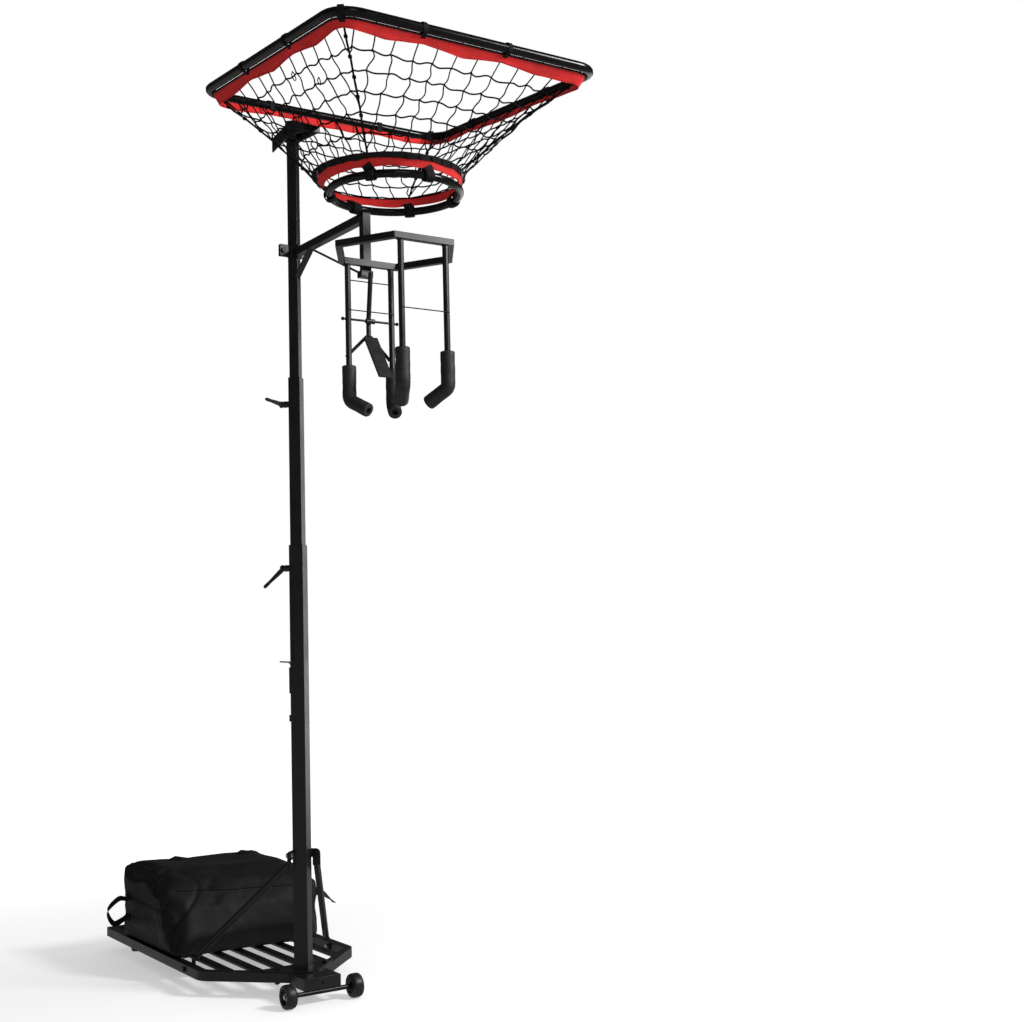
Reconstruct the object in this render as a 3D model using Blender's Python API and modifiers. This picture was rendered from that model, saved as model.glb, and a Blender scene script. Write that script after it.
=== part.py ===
# Volleyball spike trainer: a wheeled base, a three-stage mast, a ball holder with a release
# lever, and a feeder net on a tilting rim. Metres, +Z up, floor at Z = 0.
# It is laid out from the mast's centre line, with the ball holder out along -Y and the base along +Y,
# and at the end the whole part moves until the origin is under the middle of its length.

import math

import bmesh
import bpy
from mathutils import Matrix, Vector

# From the mast's centre line to the middle of the part's length
FOOTPRINT_SHIFT = 0.024

# General fits
GAP = 0.0003
SLIDE_CLEARANCE = 0.001
PIN_CLEARANCE = 0.0003
BOLT_RADIUS = 0.004
ROUND_SIDES = 16

# Base frame, a five-sided loop of square tube
FRAME_HALF_WIDTH = 0.237
FRAME_BACK = 0.94
FRAME_NOSE = -0.077
FRAME_TUBE = 0.026
FRAME_BOTTOM = 0.044
NOSE_RADIUS = 0.040
BEND_RADIUS = 0.060
BACK_RADIUS = 0.012

# Slats of the load deck
SLAT_COUNT = 6
SLAT_WIDTH = 0.030
SLAT_THICKNESS = 0.006
SLAT_DROP = 0.004
WELD_BITE = 0.002

# Wheels, axle and crossbeam
WHEEL_RADIUS = 0.032
WHEEL_WIDTH = 0.029
WHEEL_OFFSET = 0.098
WHEEL_RECESS = 0.008
WHEEL_RECESS_RADIUS = 0.020
AXLE_RADIUS = 0.0065
AXLE_Y = -0.112
COLLAR_RADIUS = 0.0095
COLLAR_WIDTH = 0.0035
CROSSBEAM_HALF_WIDTH = 0.0535
CROSSBEAM_FRONT = -0.118
CROSSBEAM_HOLE_RADIUS = 0.003
CROSSBEAM_HOLE_DEPTH = 0.010
WASHER_RADIUS = 0.0092
WASHER_THICKNESS = 0.0015

# Rear feet
FOOT_X = 0.165
FOOT_Y = 0.86
FOOT_TOP_RADIUS = 0.019
FOOT_BASE_RADIUS = 0.016

# Foot plate under the mast
PLATE_THICKNESS = 0.004
PLATE_EDGE_SETBACK = 0.004
PLATE_BACK = 0.050
FOOT_BOLT_X = 0.072

# Mast: three square tubes, turned so that their faces match the front runs of the frame
MAST_TURN = math.radians(135)
MAST_OUTER = 0.040
MAST_WALL = 0.002
LOWER_TOP = 1.231
MIDDLE_TOP = 1.704
UPPER_TOP = 2.447
MIDDLE_LENGTH = 0.965
UPPER_LENGTH = 1.140
GLIDE_HEIGHT = 0.028
GLIDE_CLEARANCE = 0.0004

# Height-setting slot and spring catch on the lower tube
SLOT_SIDE = 0.0103
SLOT_WIDTH = 0.007
SLOT_LOW = 0.910
SLOT_HIGH = 0.966
CATCH_PIVOT_Z = 0.751
CATCH_TOP_Z = 0.905
CATCH_REACH = 0.036
CATCH_THICKNESS = 0.004
CATCH_WIDTH = 0.012
CATCH_BEND = 0.010
CATCH_STANDOFF = 0.0015
CATCH_PIN_RADIUS = 0.0011
CATCH_TAIL = 0.009
CHEEK_THICKNESS = 0.003
GRIP_LENGTH = 0.072
GRIP_WALL = 0.0022

# Clamp levers
CLAMP_LOWER_Z = 1.167
CLAMP_UPPER_Z = 1.630
BOSS_RADIUS = 0.009
BOSS_LENGTH = 0.010
STUD_RADIUS = 0.004
HUB_RADIUS = 0.0095
HUB_LENGTH = 0.021
HANDLE_LENGTH = 0.078
HANDLE_THICK = 0.0068
HANDLE_THIN = 0.0045
LOWER_HANDLE_LEAN = math.radians(42)
UPPER_HANDLE_LEAN = math.radians(74)
LOWER_HANDLE_SWING = math.radians(-90)
UPPER_HANDLE_SWING = math.radians(5)

# Braces from mast to side rails
BRACE_RADIUS = 0.0095
BRACE_TOP_Z = 0.380
BRACE_RAIL_Y = 0.270
TAB_THICKNESS = 0.0035
TAB_WIDTH = 0.022
TAB_DROP = 0.034
EAR_THICKNESS = 0.0045
EAR_RADIUS = 0.012
EAR_SINK = 0.001
BOLT_HEAD_RADIUS = 0.0075
BOLT_HEAD_HEIGHT = 0.005

# Head clamp on the upper tube
CLAMP_DROP = 0.380
CLAMP_HEIGHT = 0.034
CLAMP_PLATE = 0.004
CLAMP_HALF_WIDTH = 0.046
CLAMP_BOLT_X = 0.035
CLAMP_SPLIT = 0.0015

# Arm and post that carry the ball holder
ARM_TUBE = 0.022
ARM_DROP = 0.387
POST_Y = -0.424
POST_BOTTOM_DROP = 0.531
POST_BLOCK_HEIGHT = 0.016
POST_BLOCK_WIDTH = 0.034
BRACE_STRIP_WIDTH = 0.018
BRACE_STRIP_THICKNESS = 0.004
BRACE_STRIP_LOW_DROP = 0.455
BRACE_STRIP_REACH = 0.105
STAY_RADIUS = 0.0032
STAY_Y = -0.090

# Ring and hexagon
HOLDER_Y = -0.584
RING_RADIUS = 0.164
RING_TUBE = 0.010
RING_DROP = 0.367
HEX_RADIUS = 0.168
HEX_BAR = 0.0165
HEX_DROP = 0.507

# Fingers, grips and guard wires
FINGER_X = 0.063
FINGER_RADIUS = 0.0077
FINGER_BEND_DROP = 0.876
FINGER_BEND_RADIUS = 0.020
FINGER_REACH = 0.060
FINGER_DIP = math.radians(28)
GRIP_RADIUS = 0.018
GRIP_TOP_DROP = 0.787
GRIP_OVERHANG = 0.012
WIRE_RADIUS = 0.0015
WIRE_BACK_HIGH_DROP = 0.562
WIRE_BACK_LOW_DROP = 0.643
WIRE_FRONT_DROP = 0.691

# Release lever
ROD_DROP = 0.666
ROD_RADIUS = 0.003
ROD_HALF_LENGTH = 0.079
ROD_BALL_RADIUS = 0.0048
LEVER_RADIUS = 0.0062
LEVER_TOP_DROP = 0.539
LEVER_LEAN = 0.0165
LEVER_FORK_DROP = 0.703
LEG_RADIUS = 0.0045
LEG_DROP = 0.058
KNUCKLE_RADIUS = 0.0065
KNUCKLE_LENGTH = 0.024
PADDLE_WIDTH = 0.040
PADDLE_LENGTH = 0.139
PADDLE_THICKNESS = 0.006
PADDLE_TOP_DROP = 0.7085
PADDLE_LEAN = math.radians(34)
TONGUE_HALF = 0.011
TONGUE_REACH = 0.030
TONGUE_GAUGE = 0.003

# Tilting rim
TILT_DROP = 0.035
BEAM_HEIGHT = 0.040
BEAM_CHEEK = 0.004
BEAM_FRONT = -0.124
BEAM_BACK = 0.086
BEAM_BACK_DIP = math.radians(9)
BEAM_SLOT_CLEARANCE = 0.006
RIM_TILT = math.radians(4.5)
RIM_HALF_X = 0.3565
RIM_HALF_Y = 0.3833
RIM_Y = -0.5924
RIM_DROP = 0.0815
RIM_CORNER = 0.061
RIM_TUBE = 0.011
TONGUE_WIDTH = 0.040
TONGUE_HEIGHT = 0.018
LOCK_BOLT_Y = -0.046

# Bands and net
BAND_THICKNESS = 0.002
TOP_BAND_DEPTH = 0.036
BAND_STANDOFF = 0.0022
LOOP_WALL = 0.0022
LOOP_WIDTH = 0.020
LOWER_BAND_RADIUS = 0.187
LOWER_BAND_DROP = 0.327
LOWER_BAND_DEPTH = 0.0255
TAB_ANGLES = (20, 75, 130, 200, 260, 320)
NET_COLUMNS = 11
NET_ROWS = 6
NET_STRAND = 0.0026
NET_EDGE_GAP = 0.0035
CORNER_CORD_RADIUS = 0.0022

# Load bag on the deck
BAG_LEFT = -0.206
BAG_RIGHT = 0.188
BAG_FRONT = 0.318
BAG_BACK = 0.785
BAG_SHOULDER = 0.245
BAG_TOP = 0.290
BAG_LID_START = 0.150
STRAP_WIDTH = 0.025
STRAP_THICKNESS = 0.003

# Worked-out places
FRAME_TOP = FRAME_BOTTOM + FRAME_TUBE
RAIL_INNER = FRAME_HALF_WIDTH - FRAME_TUBE
SLAT_TOP = FRAME_TOP - SLAT_DROP
FRAME_MIDDLE = (FRAME_TOP + FRAME_BOTTOM) / 2
AXLE_Z = WHEEL_RADIUS
BORE_RADIUS = AXLE_RADIUS + PIN_CLEARANCE
HUB_FACE = WHEEL_OFFSET + WHEEL_WIDTH / 2 - WHEEL_RECESS
MAST_BOTTOM = FRAME_TOP + GAP + PLATE_THICKNESS + GAP
MIDDLE_OUTER = MAST_OUTER - 2 * MAST_WALL - 2 * SLIDE_CLEARANCE
UPPER_OUTER = MIDDLE_OUTER - 2 * MAST_WALL - 2 * SLIDE_CLEARANCE
MAST_HALF = MAST_OUTER / 2
MIDDLE_HALF = MIDDLE_OUTER / 2
UPPER_HALF = UPPER_OUTER / 2
MIDDLE_BOTTOM = MIDDLE_TOP - MIDDLE_LENGTH
UPPER_BOTTOM = UPPER_TOP - UPPER_LENGTH
BOLT_HOLE = BOLT_RADIUS + PIN_CLEARANCE
EAR_CENTRE = MAST_HALF + EAR_RADIUS + EAR_SINK
EAR_FACE = MAST_HALF - EAR_SINK
EAR_REAR = EAR_FACE + EAR_THICKNESS
# Heights on the head and the rim, each down from the upper tube's top
CLAMP_Z = UPPER_TOP - CLAMP_DROP
ARM_Z = UPPER_TOP - ARM_DROP
POST_BOTTOM = UPPER_TOP - POST_BOTTOM_DROP
BRACE_STRIP_LOW_Z = UPPER_TOP - BRACE_STRIP_LOW_DROP
RING_Z = UPPER_TOP - RING_DROP
HEX_TOP = UPPER_TOP - HEX_DROP
FINGER_BEND_Z = UPPER_TOP - FINGER_BEND_DROP
GRIP_TOP_Z = UPPER_TOP - GRIP_TOP_DROP
WIRE_BACK_HIGH_Z = UPPER_TOP - WIRE_BACK_HIGH_DROP
WIRE_BACK_LOW_Z = UPPER_TOP - WIRE_BACK_LOW_DROP
WIRE_FRONT_Z = UPPER_TOP - WIRE_FRONT_DROP
ROD_Z = UPPER_TOP - ROD_DROP
LEVER_TOP_Z = UPPER_TOP - LEVER_TOP_DROP
LEVER_FORK_Z = UPPER_TOP - LEVER_FORK_DROP
PADDLE_TOP_Z = UPPER_TOP - PADDLE_TOP_DROP
TILT_Z = UPPER_TOP - TILT_DROP
RIM_Z = UPPER_TOP - RIM_DROP
LOWER_BAND_TOP = UPPER_TOP - LOWER_BAND_DROP
LOWER_BAND_FOOT = LOWER_BAND_TOP - LOWER_BAND_DEPTH

POST_FRONT = POST_Y - ARM_TUBE / 2
POST_BACK = POST_Y + ARM_TUBE / 2
HEX_INNER = HEX_RADIUS - HEX_BAR / math.cos(math.radians(30))
HEX_BOTTOM = HEX_TOP - HEX_BAR
HEX_CENTRE_Y = POST_FRONT - GAP - HEX_RADIUS * math.cos(math.radians(30))
HEX_BAR_DISTANCE = HEX_RADIUS * math.cos(math.radians(30)) - HEX_BAR / 2
FINGER_BACK_Y = HEX_CENTRE_Y + HEX_BAR_DISTANCE
FINGER_FRONT_Y = HEX_CENTRE_Y - HEX_BAR_DISTANCE
UPPER_CORNER = UPPER_HALF * math.sqrt(2)
BEAM_INNER_HALF = UPPER_CORNER + SLIDE_CLEARANCE
BEAM_HALF_WIDTH = BEAM_INNER_HALF + BEAM_CHEEK

parts = bpy.data.collections.new("spike_trainer")
cutters = bpy.data.collections.new("cutters")


def clear_scene():
    for item in list(bpy.data.objects):
        bpy.data.objects.remove(item, do_unlink=True)
    bpy.context.scene.collection.children.link(parts)
    bpy.context.scene.collection.children.link(cutters)


def paint(name, colour, roughness, metallic=0.0):
    """A plain material in the part's own colour."""
    material = bpy.data.materials.new(name + "_finish")
    material.use_nodes = True
    shader = material.node_tree.nodes["Principled BSDF"]
    shader.inputs["Base Color"].default_value = (*colour, 1.0)
    shader.inputs["Roughness"].default_value = roughness
    shader.inputs["Metallic"].default_value = metallic
    material.diffuse_color = (*colour, 1.0)
    return material


FINISHES = {
    "black_paint": ((0.018, 0.018, 0.020), 0.42, 0.0),
    "zinc": ((0.62, 0.62, 0.63), 0.32, 1.0),
    "black_zinc": ((0.035, 0.035, 0.038), 0.38, 0.8),
    "black_plastic": ((0.022, 0.022, 0.023), 0.5, 0.0),
    "tyre": ((0.028, 0.028, 0.030), 0.6, 0.0),
    "foam": ((0.030, 0.030, 0.032), 0.75, 0.0),
    "red_fabric": ((0.72, 0.020, 0.012), 0.8, 0.0),
    "black_cord": ((0.015, 0.015, 0.015), 0.85, 0.0),
    "bag_fabric": ((0.016, 0.016, 0.018), 0.8, 0.0),
    "catch_steel": ((0.55, 0.55, 0.54), 0.35, 1.0),
}


def place(name, mesh, finish, collection=parts):
    """Add a mesh to the part as one named piece."""
    item = bpy.data.objects.new(name, mesh)
    collection.objects.link(item)
    item.data.materials.clear()
    item.data.materials.append(paint(name, *FINISHES[finish]))
    return item


def smooth(item, angle=35):
    item.data.shade_smooth()
    item.data.set_sharp_from_angle(angle=math.radians(angle))
    return item


def mesh_from(bm, name):
    mesh = bpy.data.meshes.new(name)
    bm.to_mesh(mesh)
    bm.free()
    return mesh


def mesh_of_curve(curve, name):
    """The welded mesh of a curve, so that it can be cut or joined."""
    holder = bpy.data.objects.new(name + "_curve", curve)
    cutters.objects.link(holder)
    bpy.context.view_layer.update()
    graph = bpy.context.evaluated_depsgraph_get()
    mesh = bpy.data.meshes.new_from_object(holder.evaluated_get(graph))
    bpy.data.objects.remove(holder, do_unlink=True)
    bm = bmesh.new()
    bm.from_mesh(mesh)
    bmesh.ops.remove_doubles(bm, verts=bm.verts, dist=0.00001)
    bmesh.ops.recalc_face_normals(bm, faces=bm.faces)
    bm.to_mesh(mesh)
    bm.free()
    return mesh


def box_mesh(name, low, high):
    low = Vector(low)
    high = Vector(high)
    bm = bmesh.new()
    bmesh.ops.create_cube(bm, size=1.0)
    bmesh.ops.scale(bm, vec=high - low, verts=bm.verts)
    bmesh.ops.translate(bm, vec=(low + high) / 2, verts=bm.verts)
    return mesh_from(bm, name)


def along(direction):
    """Turn local +Z to a direction."""
    return Vector(direction).to_track_quat("Z", "Y").to_matrix().to_4x4()


def prism_mesh(name, start, end, radius, sides=ROUND_SIDES, end_radius=None):
    """A straight bar of regular section between two points."""
    start = Vector(start)
    end = Vector(end)
    bm = bmesh.new()
    bmesh.ops.create_cone(
        bm, cap_ends=True, segments=sides, radius1=radius,
        radius2=radius if end_radius is None else end_radius, depth=(end - start).length)
    bm.transform(Matrix.Translation((start + end) / 2) @ along(end - start))
    return mesh_from(bm, name)


def flat_mesh(name, loops, thickness, matrix=Matrix.Identity(4)):
    """A flat outline, with holes as further loops, centred on its own plane."""
    curve = bpy.data.curves.new(name, "CURVE")
    curve.dimensions = "2D"
    curve.fill_mode = "BOTH"
    curve.extrude = thickness / 2
    for loop in loops:
        spline = curve.splines.new("POLY")
        spline.points.add(len(loop) - 1)
        for point, (x, y) in zip(spline.points, loop):
            point.co = (x, y, 0, 1)
        spline.use_cyclic_u = True
    mesh = mesh_of_curve(curve, name)
    mesh.transform(matrix)
    return mesh


def tube_mesh(name, points, radius, resolution=3, closed=False, radii=None):
    """A round bar along a path, with closed ends unless the path is a loop."""
    curve = bpy.data.curves.new(name, "CURVE")
    curve.dimensions = "3D"
    curve.bevel_depth = radius
    curve.bevel_resolution = resolution
    curve.use_fill_caps = True
    spline = curve.splines.new("POLY")
    spline.points.add(len(points) - 1)
    for index, (point, place_at) in enumerate(zip(spline.points, points)):
        point.co = (*place_at, 1)
        point.radius = radii[index] if radii else 1.0
    spline.use_cyclic_u = closed
    return mesh_of_curve(curve, name)


def turned_mesh(name, profile, steps, closed=False):
    """A turned shape round local Z from a profile that runs down its outer side."""
    bm = bmesh.new()
    points = [bm.verts.new((x, 0, z)) for x, z in profile]
    for first, second in zip(points, points[1:]):
        bm.edges.new((first, second))
    if closed:
        bm.edges.new((points[-1], points[0]))
    holder = bpy.data.objects.new(name + "_profile", mesh_from(bm, name + "_profile"))
    cutters.objects.link(holder)
    screw = holder.modifiers.new("Turn", "SCREW")
    screw.steps = steps
    screw.render_steps = steps
    screw.use_merge_vertices = True
    screw.merge_threshold = 0.00005
    bpy.context.view_layer.update()
    graph = bpy.context.evaluated_depsgraph_get()
    mesh = bpy.data.meshes.new_from_object(holder.evaluated_get(graph))
    bpy.data.objects.remove(holder, do_unlink=True)
    return mesh


def moved(mesh, matrix):
    mesh.transform(matrix)
    return mesh


def hidden_tool(name, mesh):
    """An object that only cuts or joins."""
    item = bpy.data.objects.new(name, mesh)
    cutters.objects.link(item)
    item.hide_render = True
    item.display_type = "WIRE"
    return item


def cut(item, *meshes):
    for mesh in meshes:
        modifier = item.modifiers.new("Cut", "BOOLEAN")
        modifier.operation = "DIFFERENCE"
        modifier.solver = "EXACT"
        modifier.object = hidden_tool(item.name + "_cut", mesh)
    return item


def join(item, *meshes):
    for mesh in meshes:
        modifier = item.modifiers.new("Join", "BOOLEAN")
        modifier.operation = "UNION"
        modifier.solver = "EXACT"
        modifier.object = hidden_tool(item.name + "_join", mesh)
    return item


def bevel(item, width, segments=1):
    modifier = item.modifiers.new("Edges", "BEVEL")
    modifier.width = width
    modifier.segments = segments
    modifier.limit_method = "ANGLE"
    modifier.angle_limit = math.radians(40)
    return item


def fillet_path(points, radius, steps=4, closed=False):
    """Corner points with each inner corner rounded to an arc."""
    points = [Vector(point) for point in points]
    count = len(points)
    path = []
    for index, corner in enumerate(points):
        if not closed and index in (0, count - 1):
            path.append(corner)
            continue
        before = (points[index - 1] - corner).normalized()
        after = (points[(index + 1) % count] - corner).normalized()
        half = before.angle(after) / 2
        reach = radius / math.tan(half)
        centre = corner + (before + after).normalized() * radius / math.sin(half)
        start = corner + before * reach
        end = corner + after * reach
        for step in range(steps + 1):
            chord = start.lerp(end, step / steps)
            path.append(centre + (chord - centre).normalized() * radius)
    return path


def flat_loop(points, radii, steps=5):
    """A closed outline in the plane whose corners each have their own radius."""
    points = [Vector(point) for point in points]
    count = len(points)
    loop = []
    for index, corner in enumerate(points):
        radius = radii[index]
        if radius <= 0:
            loop.append(corner)
            continue
        arc = fillet_path((points[index - 1], corner, points[(index + 1) % count]), radius, steps)
        loop.extend(arc[1:-1])
    return loop


def circle(radius, sides=ROUND_SIDES, centre=(0, 0)):
    return [Vector((centre[0] + radius * math.cos(2 * math.pi * k / sides),
                    centre[1] + radius * math.sin(2 * math.pi * k / sides))) for k in range(sides)]


def through_bolt(name, head_at, nut_at, finish, radius=BOLT_RADIUS, head=BOLT_HEAD_RADIUS):
    """A bolt whose head and nut seat on the two given points."""
    head_at = Vector(head_at)
    nut_at = Vector(nut_at)
    axis = (nut_at - head_at).normalized()
    top = head_at - axis * BOLT_HEAD_HEIGHT
    bottom = nut_at + axis * BOLT_HEAD_HEIGHT
    item = place(name, prism_mesh(name, top + axis * 0.001, bottom + axis * 0.002, radius, 12), finish)
    join(item,
         prism_mesh(name, top, head_at, head, 6),
         prism_mesh(name, nut_at, bottom, head, 6))
    return item


def empty_at(name, location, turn=0.0):
    item = bpy.data.objects.new(name, None)
    cutters.objects.link(item)
    item.location = location
    item.rotation_euler = (0, 0, turn)
    item.hide_render = True
    return item


def carry(empty, *items):
    """Parent pieces to an empty and leave them where they are."""
    bpy.context.view_layer.update()
    for item in items:
        item.parent = empty
        item.matrix_parent_inverse = empty.matrix_world.inverted()


def mast_point(side, front, height):
    """A place given from the mast: side towards the levers, front towards the wide face."""
    turn = Matrix.Rotation(MAST_TURN, 4, "Z")
    return turn @ Vector((side, front, height))


MAST_MATRIX = Matrix.Rotation(MAST_TURN, 4, "Z")


def frame_outline(inset, nose_radius, bend_radius, back_radius):
    """The five-sided loop of the base, inset from its outer edge."""
    half = FRAME_HALF_WIDTH - inset
    nose = FRAME_NOSE + inset * math.sqrt(2)
    bend = nose + half
    back = FRAME_BACK - inset
    corners = ((0, nose), (half, bend), (half, back), (-half, back), (-half, bend))
    return flat_loop(corners, (nose_radius, bend_radius, back_radius, back_radius, bend_radius))


def build_base():
    outer = frame_outline(0, NOSE_RADIUS, BEND_RADIUS, BACK_RADIUS)
    inner = frame_outline(FRAME_TUBE, NOSE_RADIUS - FRAME_TUBE / 2, BEND_RADIUS - FRAME_TUBE, 0)
    frame = place("base_frame", flat_mesh("base_frame", (outer, inner), FRAME_TUBE,
                                          Matrix.Translation((0, 0, FRAME_MIDDLE))), "black_paint")
    pitch = (2 * RAIL_INNER - SLAT_COUNT * SLAT_WIDTH) / (SLAT_COUNT + 1) + SLAT_WIDTH
    inner_nose = FRAME_NOSE + FRAME_TUBE * math.sqrt(2) - WELD_BITE
    back = FRAME_BACK - FRAME_TUBE + WELD_BITE
    for number in range(SLAT_COUNT):
        centre = (number - (SLAT_COUNT - 1) / 2) * pitch
        left = centre - SLAT_WIDTH / 2
        right = centre + SLAT_WIDTH / 2
        outline = [Vector((left, back)), Vector((left, inner_nose + abs(left))),
                   Vector((right, inner_nose + abs(right))), Vector((right, back))]
        slat_middle = SLAT_TOP - SLAT_THICKNESS / 2
        join(frame, flat_mesh("slat", (outline,), SLAT_THICKNESS, Matrix.Translation((0, 0, slat_middle))))
    for side in (-1, 1):
        cut(frame, prism_mesh("rail_hole", (side * (RAIL_INNER - 0.01), BRACE_RAIL_Y, FRAME_MIDDLE),
                              (side * (FRAME_HALF_WIDTH + 0.01), BRACE_RAIL_Y, FRAME_MIDDLE), BOLT_HOLE, 12))
        cut(frame, prism_mesh("foot_hole", (side * FOOT_BOLT_X, foot_bolt_y(), FRAME_BOTTOM - 0.01),
                              (side * FOOT_BOLT_X, foot_bolt_y(), FRAME_TOP + 0.01), BOLT_HOLE, 12))
    build_foot_plate()
    build_crossbeam()
    for name, side in (("left", -1), ("right", 1)):
        build_rear_foot("rear_foot_" + name, side)
        plate_top = FRAME_TOP + GAP + PLATE_THICKNESS + GAP
        through_bolt("foot_bolt_" + name, (side * FOOT_BOLT_X, foot_bolt_y(), plate_top),
                     (side * FOOT_BOLT_X, foot_bolt_y(), FRAME_BOTTOM - GAP), "black_zinc")


def foot_bolt_y():
    """The middle of a front run of the frame at the foot bolts."""
    return FRAME_NOSE + FRAME_TUBE / math.sqrt(2) + FOOT_BOLT_X


def build_foot_plate():
    nose = FRAME_NOSE + PLATE_EDGE_SETBACK * math.sqrt(2)
    half = PLATE_BACK - nose
    corners = ((0, nose), (half, PLATE_BACK), (-half, PLATE_BACK))
    outline = flat_loop(corners, (NOSE_RADIUS - PLATE_EDGE_SETBACK, 0.010, 0.010))
    middle = FRAME_TOP + GAP + PLATE_THICKNESS / 2
    plate = place("foot_plate", flat_mesh("foot_plate", (outline,), PLATE_THICKNESS,
                                          Matrix.Translation((0, 0, middle))), "black_paint")
    for side in (-1, 1):
        cut(plate, prism_mesh("plate_hole", (side * FOOT_BOLT_X, foot_bolt_y(), middle - 0.01),
                              (side * FOOT_BOLT_X, foot_bolt_y(), middle + 0.01), BOLT_HOLE, 12))


def build_crossbeam():
    """The short box ahead of the nose, notched to fit round it, with the axle under it."""
    bottom = AXLE_Z + AXLE_RADIUS + GAP
    top = FRAME_TOP
    half = CROSSBEAM_HALF_WIDTH
    nose = flat_loop(((half, FRAME_NOSE + half - GAP * 1.5), (0, FRAME_NOSE - GAP * 1.5),
                      (-half, FRAME_NOSE + half - GAP * 1.5)), (0, NOSE_RADIUS, 0))
    outline = [Vector((-half, CROSSBEAM_FRONT)), Vector((half, CROSSBEAM_FRONT))] + nose
    beam = place("front_crossbeam", flat_mesh("front_crossbeam", (outline,), top - bottom,
                                              Matrix.Translation((0, 0, (top + bottom) / 2))), "black_paint")
    middle = (top + bottom) / 2
    cut(beam, prism_mesh("beam_hole", (0, CROSSBEAM_FRONT - 0.01, middle),
                         (0, CROSSBEAM_FRONT + CROSSBEAM_HOLE_DEPTH, middle), CROSSBEAM_HOLE_RADIUS, 10))


def build_rear_foot(name, side):
    profile = ((0, FRAME_BOTTOM - GAP), (FOOT_TOP_RADIUS, FRAME_BOTTOM - GAP),
               (FOOT_TOP_RADIUS, FRAME_BOTTOM * 0.5), (FOOT_BASE_RADIUS, 0.002),
               (FOOT_BASE_RADIUS - 0.002, 0), (0, 0))
    foot = place(name, turned_mesh(name, profile, 16), "tyre")
    foot.location = (side * FOOT_X, FOOT_Y, 0)
    smooth(foot)


def build_wheels():
    to_side = {1: Matrix.Rotation(math.radians(90), 4, "Y"), -1: Matrix.Rotation(math.radians(-90), 4, "Y")}
    collar_in = WHEEL_OFFSET - WHEEL_WIDTH / 2 - COLLAR_WIDTH - 0.0005
    collar_out = collar_in + COLLAR_WIDTH
    end = HUB_FACE + 0.0003
    half_profile = ((0, end), (AXLE_RADIUS, end), (AXLE_RADIUS, collar_out), (COLLAR_RADIUS, collar_out),
                    (COLLAR_RADIUS, collar_in), (AXLE_RADIUS, collar_in))
    profile = half_profile + tuple((x, -z) for x, z in reversed(half_profile))
    axle = place("axle", turned_mesh("axle", profile, ROUND_SIDES), "black_zinc")
    axle.location = (0, AXLE_Y, AXLE_Z)
    axle.rotation_euler = (0, math.radians(90), 0)
    smooth(axle)
    half = WHEEL_WIDTH / 2
    rim = WHEEL_RADIUS
    recess = half - WHEEL_RECESS
    wheel_profile = (
        (BORE_RADIUS, recess), (WHEEL_RECESS_RADIUS - 0.002, recess), (WHEEL_RECESS_RADIUS, half - 0.001),
        (WHEEL_RECESS_RADIUS + 0.001, half), (rim - 0.006, half), (rim - 0.0015, half - 0.0025),
        (rim, half - 0.008), (rim, -half + 0.008), (rim - 0.0015, -half + 0.0025), (rim - 0.006, -half),
        (WHEEL_RECESS_RADIUS, -half), (WHEEL_RECESS_RADIUS - 0.003, -half + 0.004),
        (COLLAR_RADIUS + 0.004, -half + 0.004), (COLLAR_RADIUS + 0.003, -half), (BORE_RADIUS, -half))
    for name, side in (("left", -1), ("right", 1)):
        hub = empty_at("wheel_axis_" + name, (side * WHEEL_OFFSET, AXLE_Y, AXLE_Z))
        wheel = place("wheel_" + name, turned_mesh("wheel_" + name, wheel_profile, 22, closed=True), "tyre")
        wheel.matrix_world = Matrix.Translation((side * WHEEL_OFFSET, AXLE_Y, AXLE_Z)) @ to_side[side]
        smooth(wheel)
        carry(hub, wheel)
        washer_in = end + GAP
        washer_out = washer_in + WASHER_THICKNESS
        head_out = washer_out + 0.0045
        bolt = place("wheel_bolt_" + name, prism_mesh("wheel_bolt", (side * washer_in, AXLE_Y, AXLE_Z),
                     (side * washer_out, AXLE_Y, AXLE_Z), WASHER_RADIUS), "zinc")
        join(bolt, prism_mesh("wheel_bolt_head", (side * (washer_in + 0.0005), AXLE_Y, AXLE_Z),
                              (side * head_out, AXLE_Y, AXLE_Z), AXLE_RADIUS, 6))


def square_tube(name, outer, bottom, top):
    """A square tube of the mast, turned with it."""
    half = outer / 2
    bore = half - MAST_WALL
    loops = [[Vector(corner) * size for corner in ((-1, -1), (1, -1), (1, 1), (-1, 1))] for size in (half, bore)]
    height = top - bottom
    mesh = flat_mesh(name, loops, height, MAST_MATRIX @ Matrix.Translation((0, 0, (top + bottom) / 2)))
    return place(name, mesh, "black_paint")


def mast_box(name, low, high):
    return moved(box_mesh(name, low, high), MAST_MATRIX)


def mast_prism(name, start, end, radius, sides=ROUND_SIDES):
    return prism_mesh(name, mast_point(*start), mast_point(*end), radius, sides)


def clamp_boss(tube, half, height):
    """The threaded boss of a clamp lever, with its bore through the tube wall."""
    join(tube, mast_prism("boss", (half - 0.001, 0, height), (half + BOSS_LENGTH, 0, height), BOSS_RADIUS))
    bore = STUD_RADIUS + PIN_CLEARANCE
    cut(tube, mast_prism("boss_bore", (half - MAST_WALL - 0.004, 0, height),
                         (half + BOSS_LENGTH + 0.004, 0, height), bore, 12))


def tab_loop(root, radius, steps=8):
    """A strip that starts a distance behind the centre of its round end."""
    angles = [math.radians(-90 + 180 * step / steps) for step in range(steps + 1)]
    arc = [Vector((radius * math.cos(angle), radius * math.sin(angle))) for angle in angles]
    return [Vector((-root, -radius))] + arc + [Vector((-root, radius))]


def ear_point(side, across, away, height):
    """A place given from a rear face of the mast: across it to its outer corner, and away from it."""
    half_turn = math.sqrt(0.5)
    return Vector((side * (across + away) * half_turn, (away - across) * half_turn, height))


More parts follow.
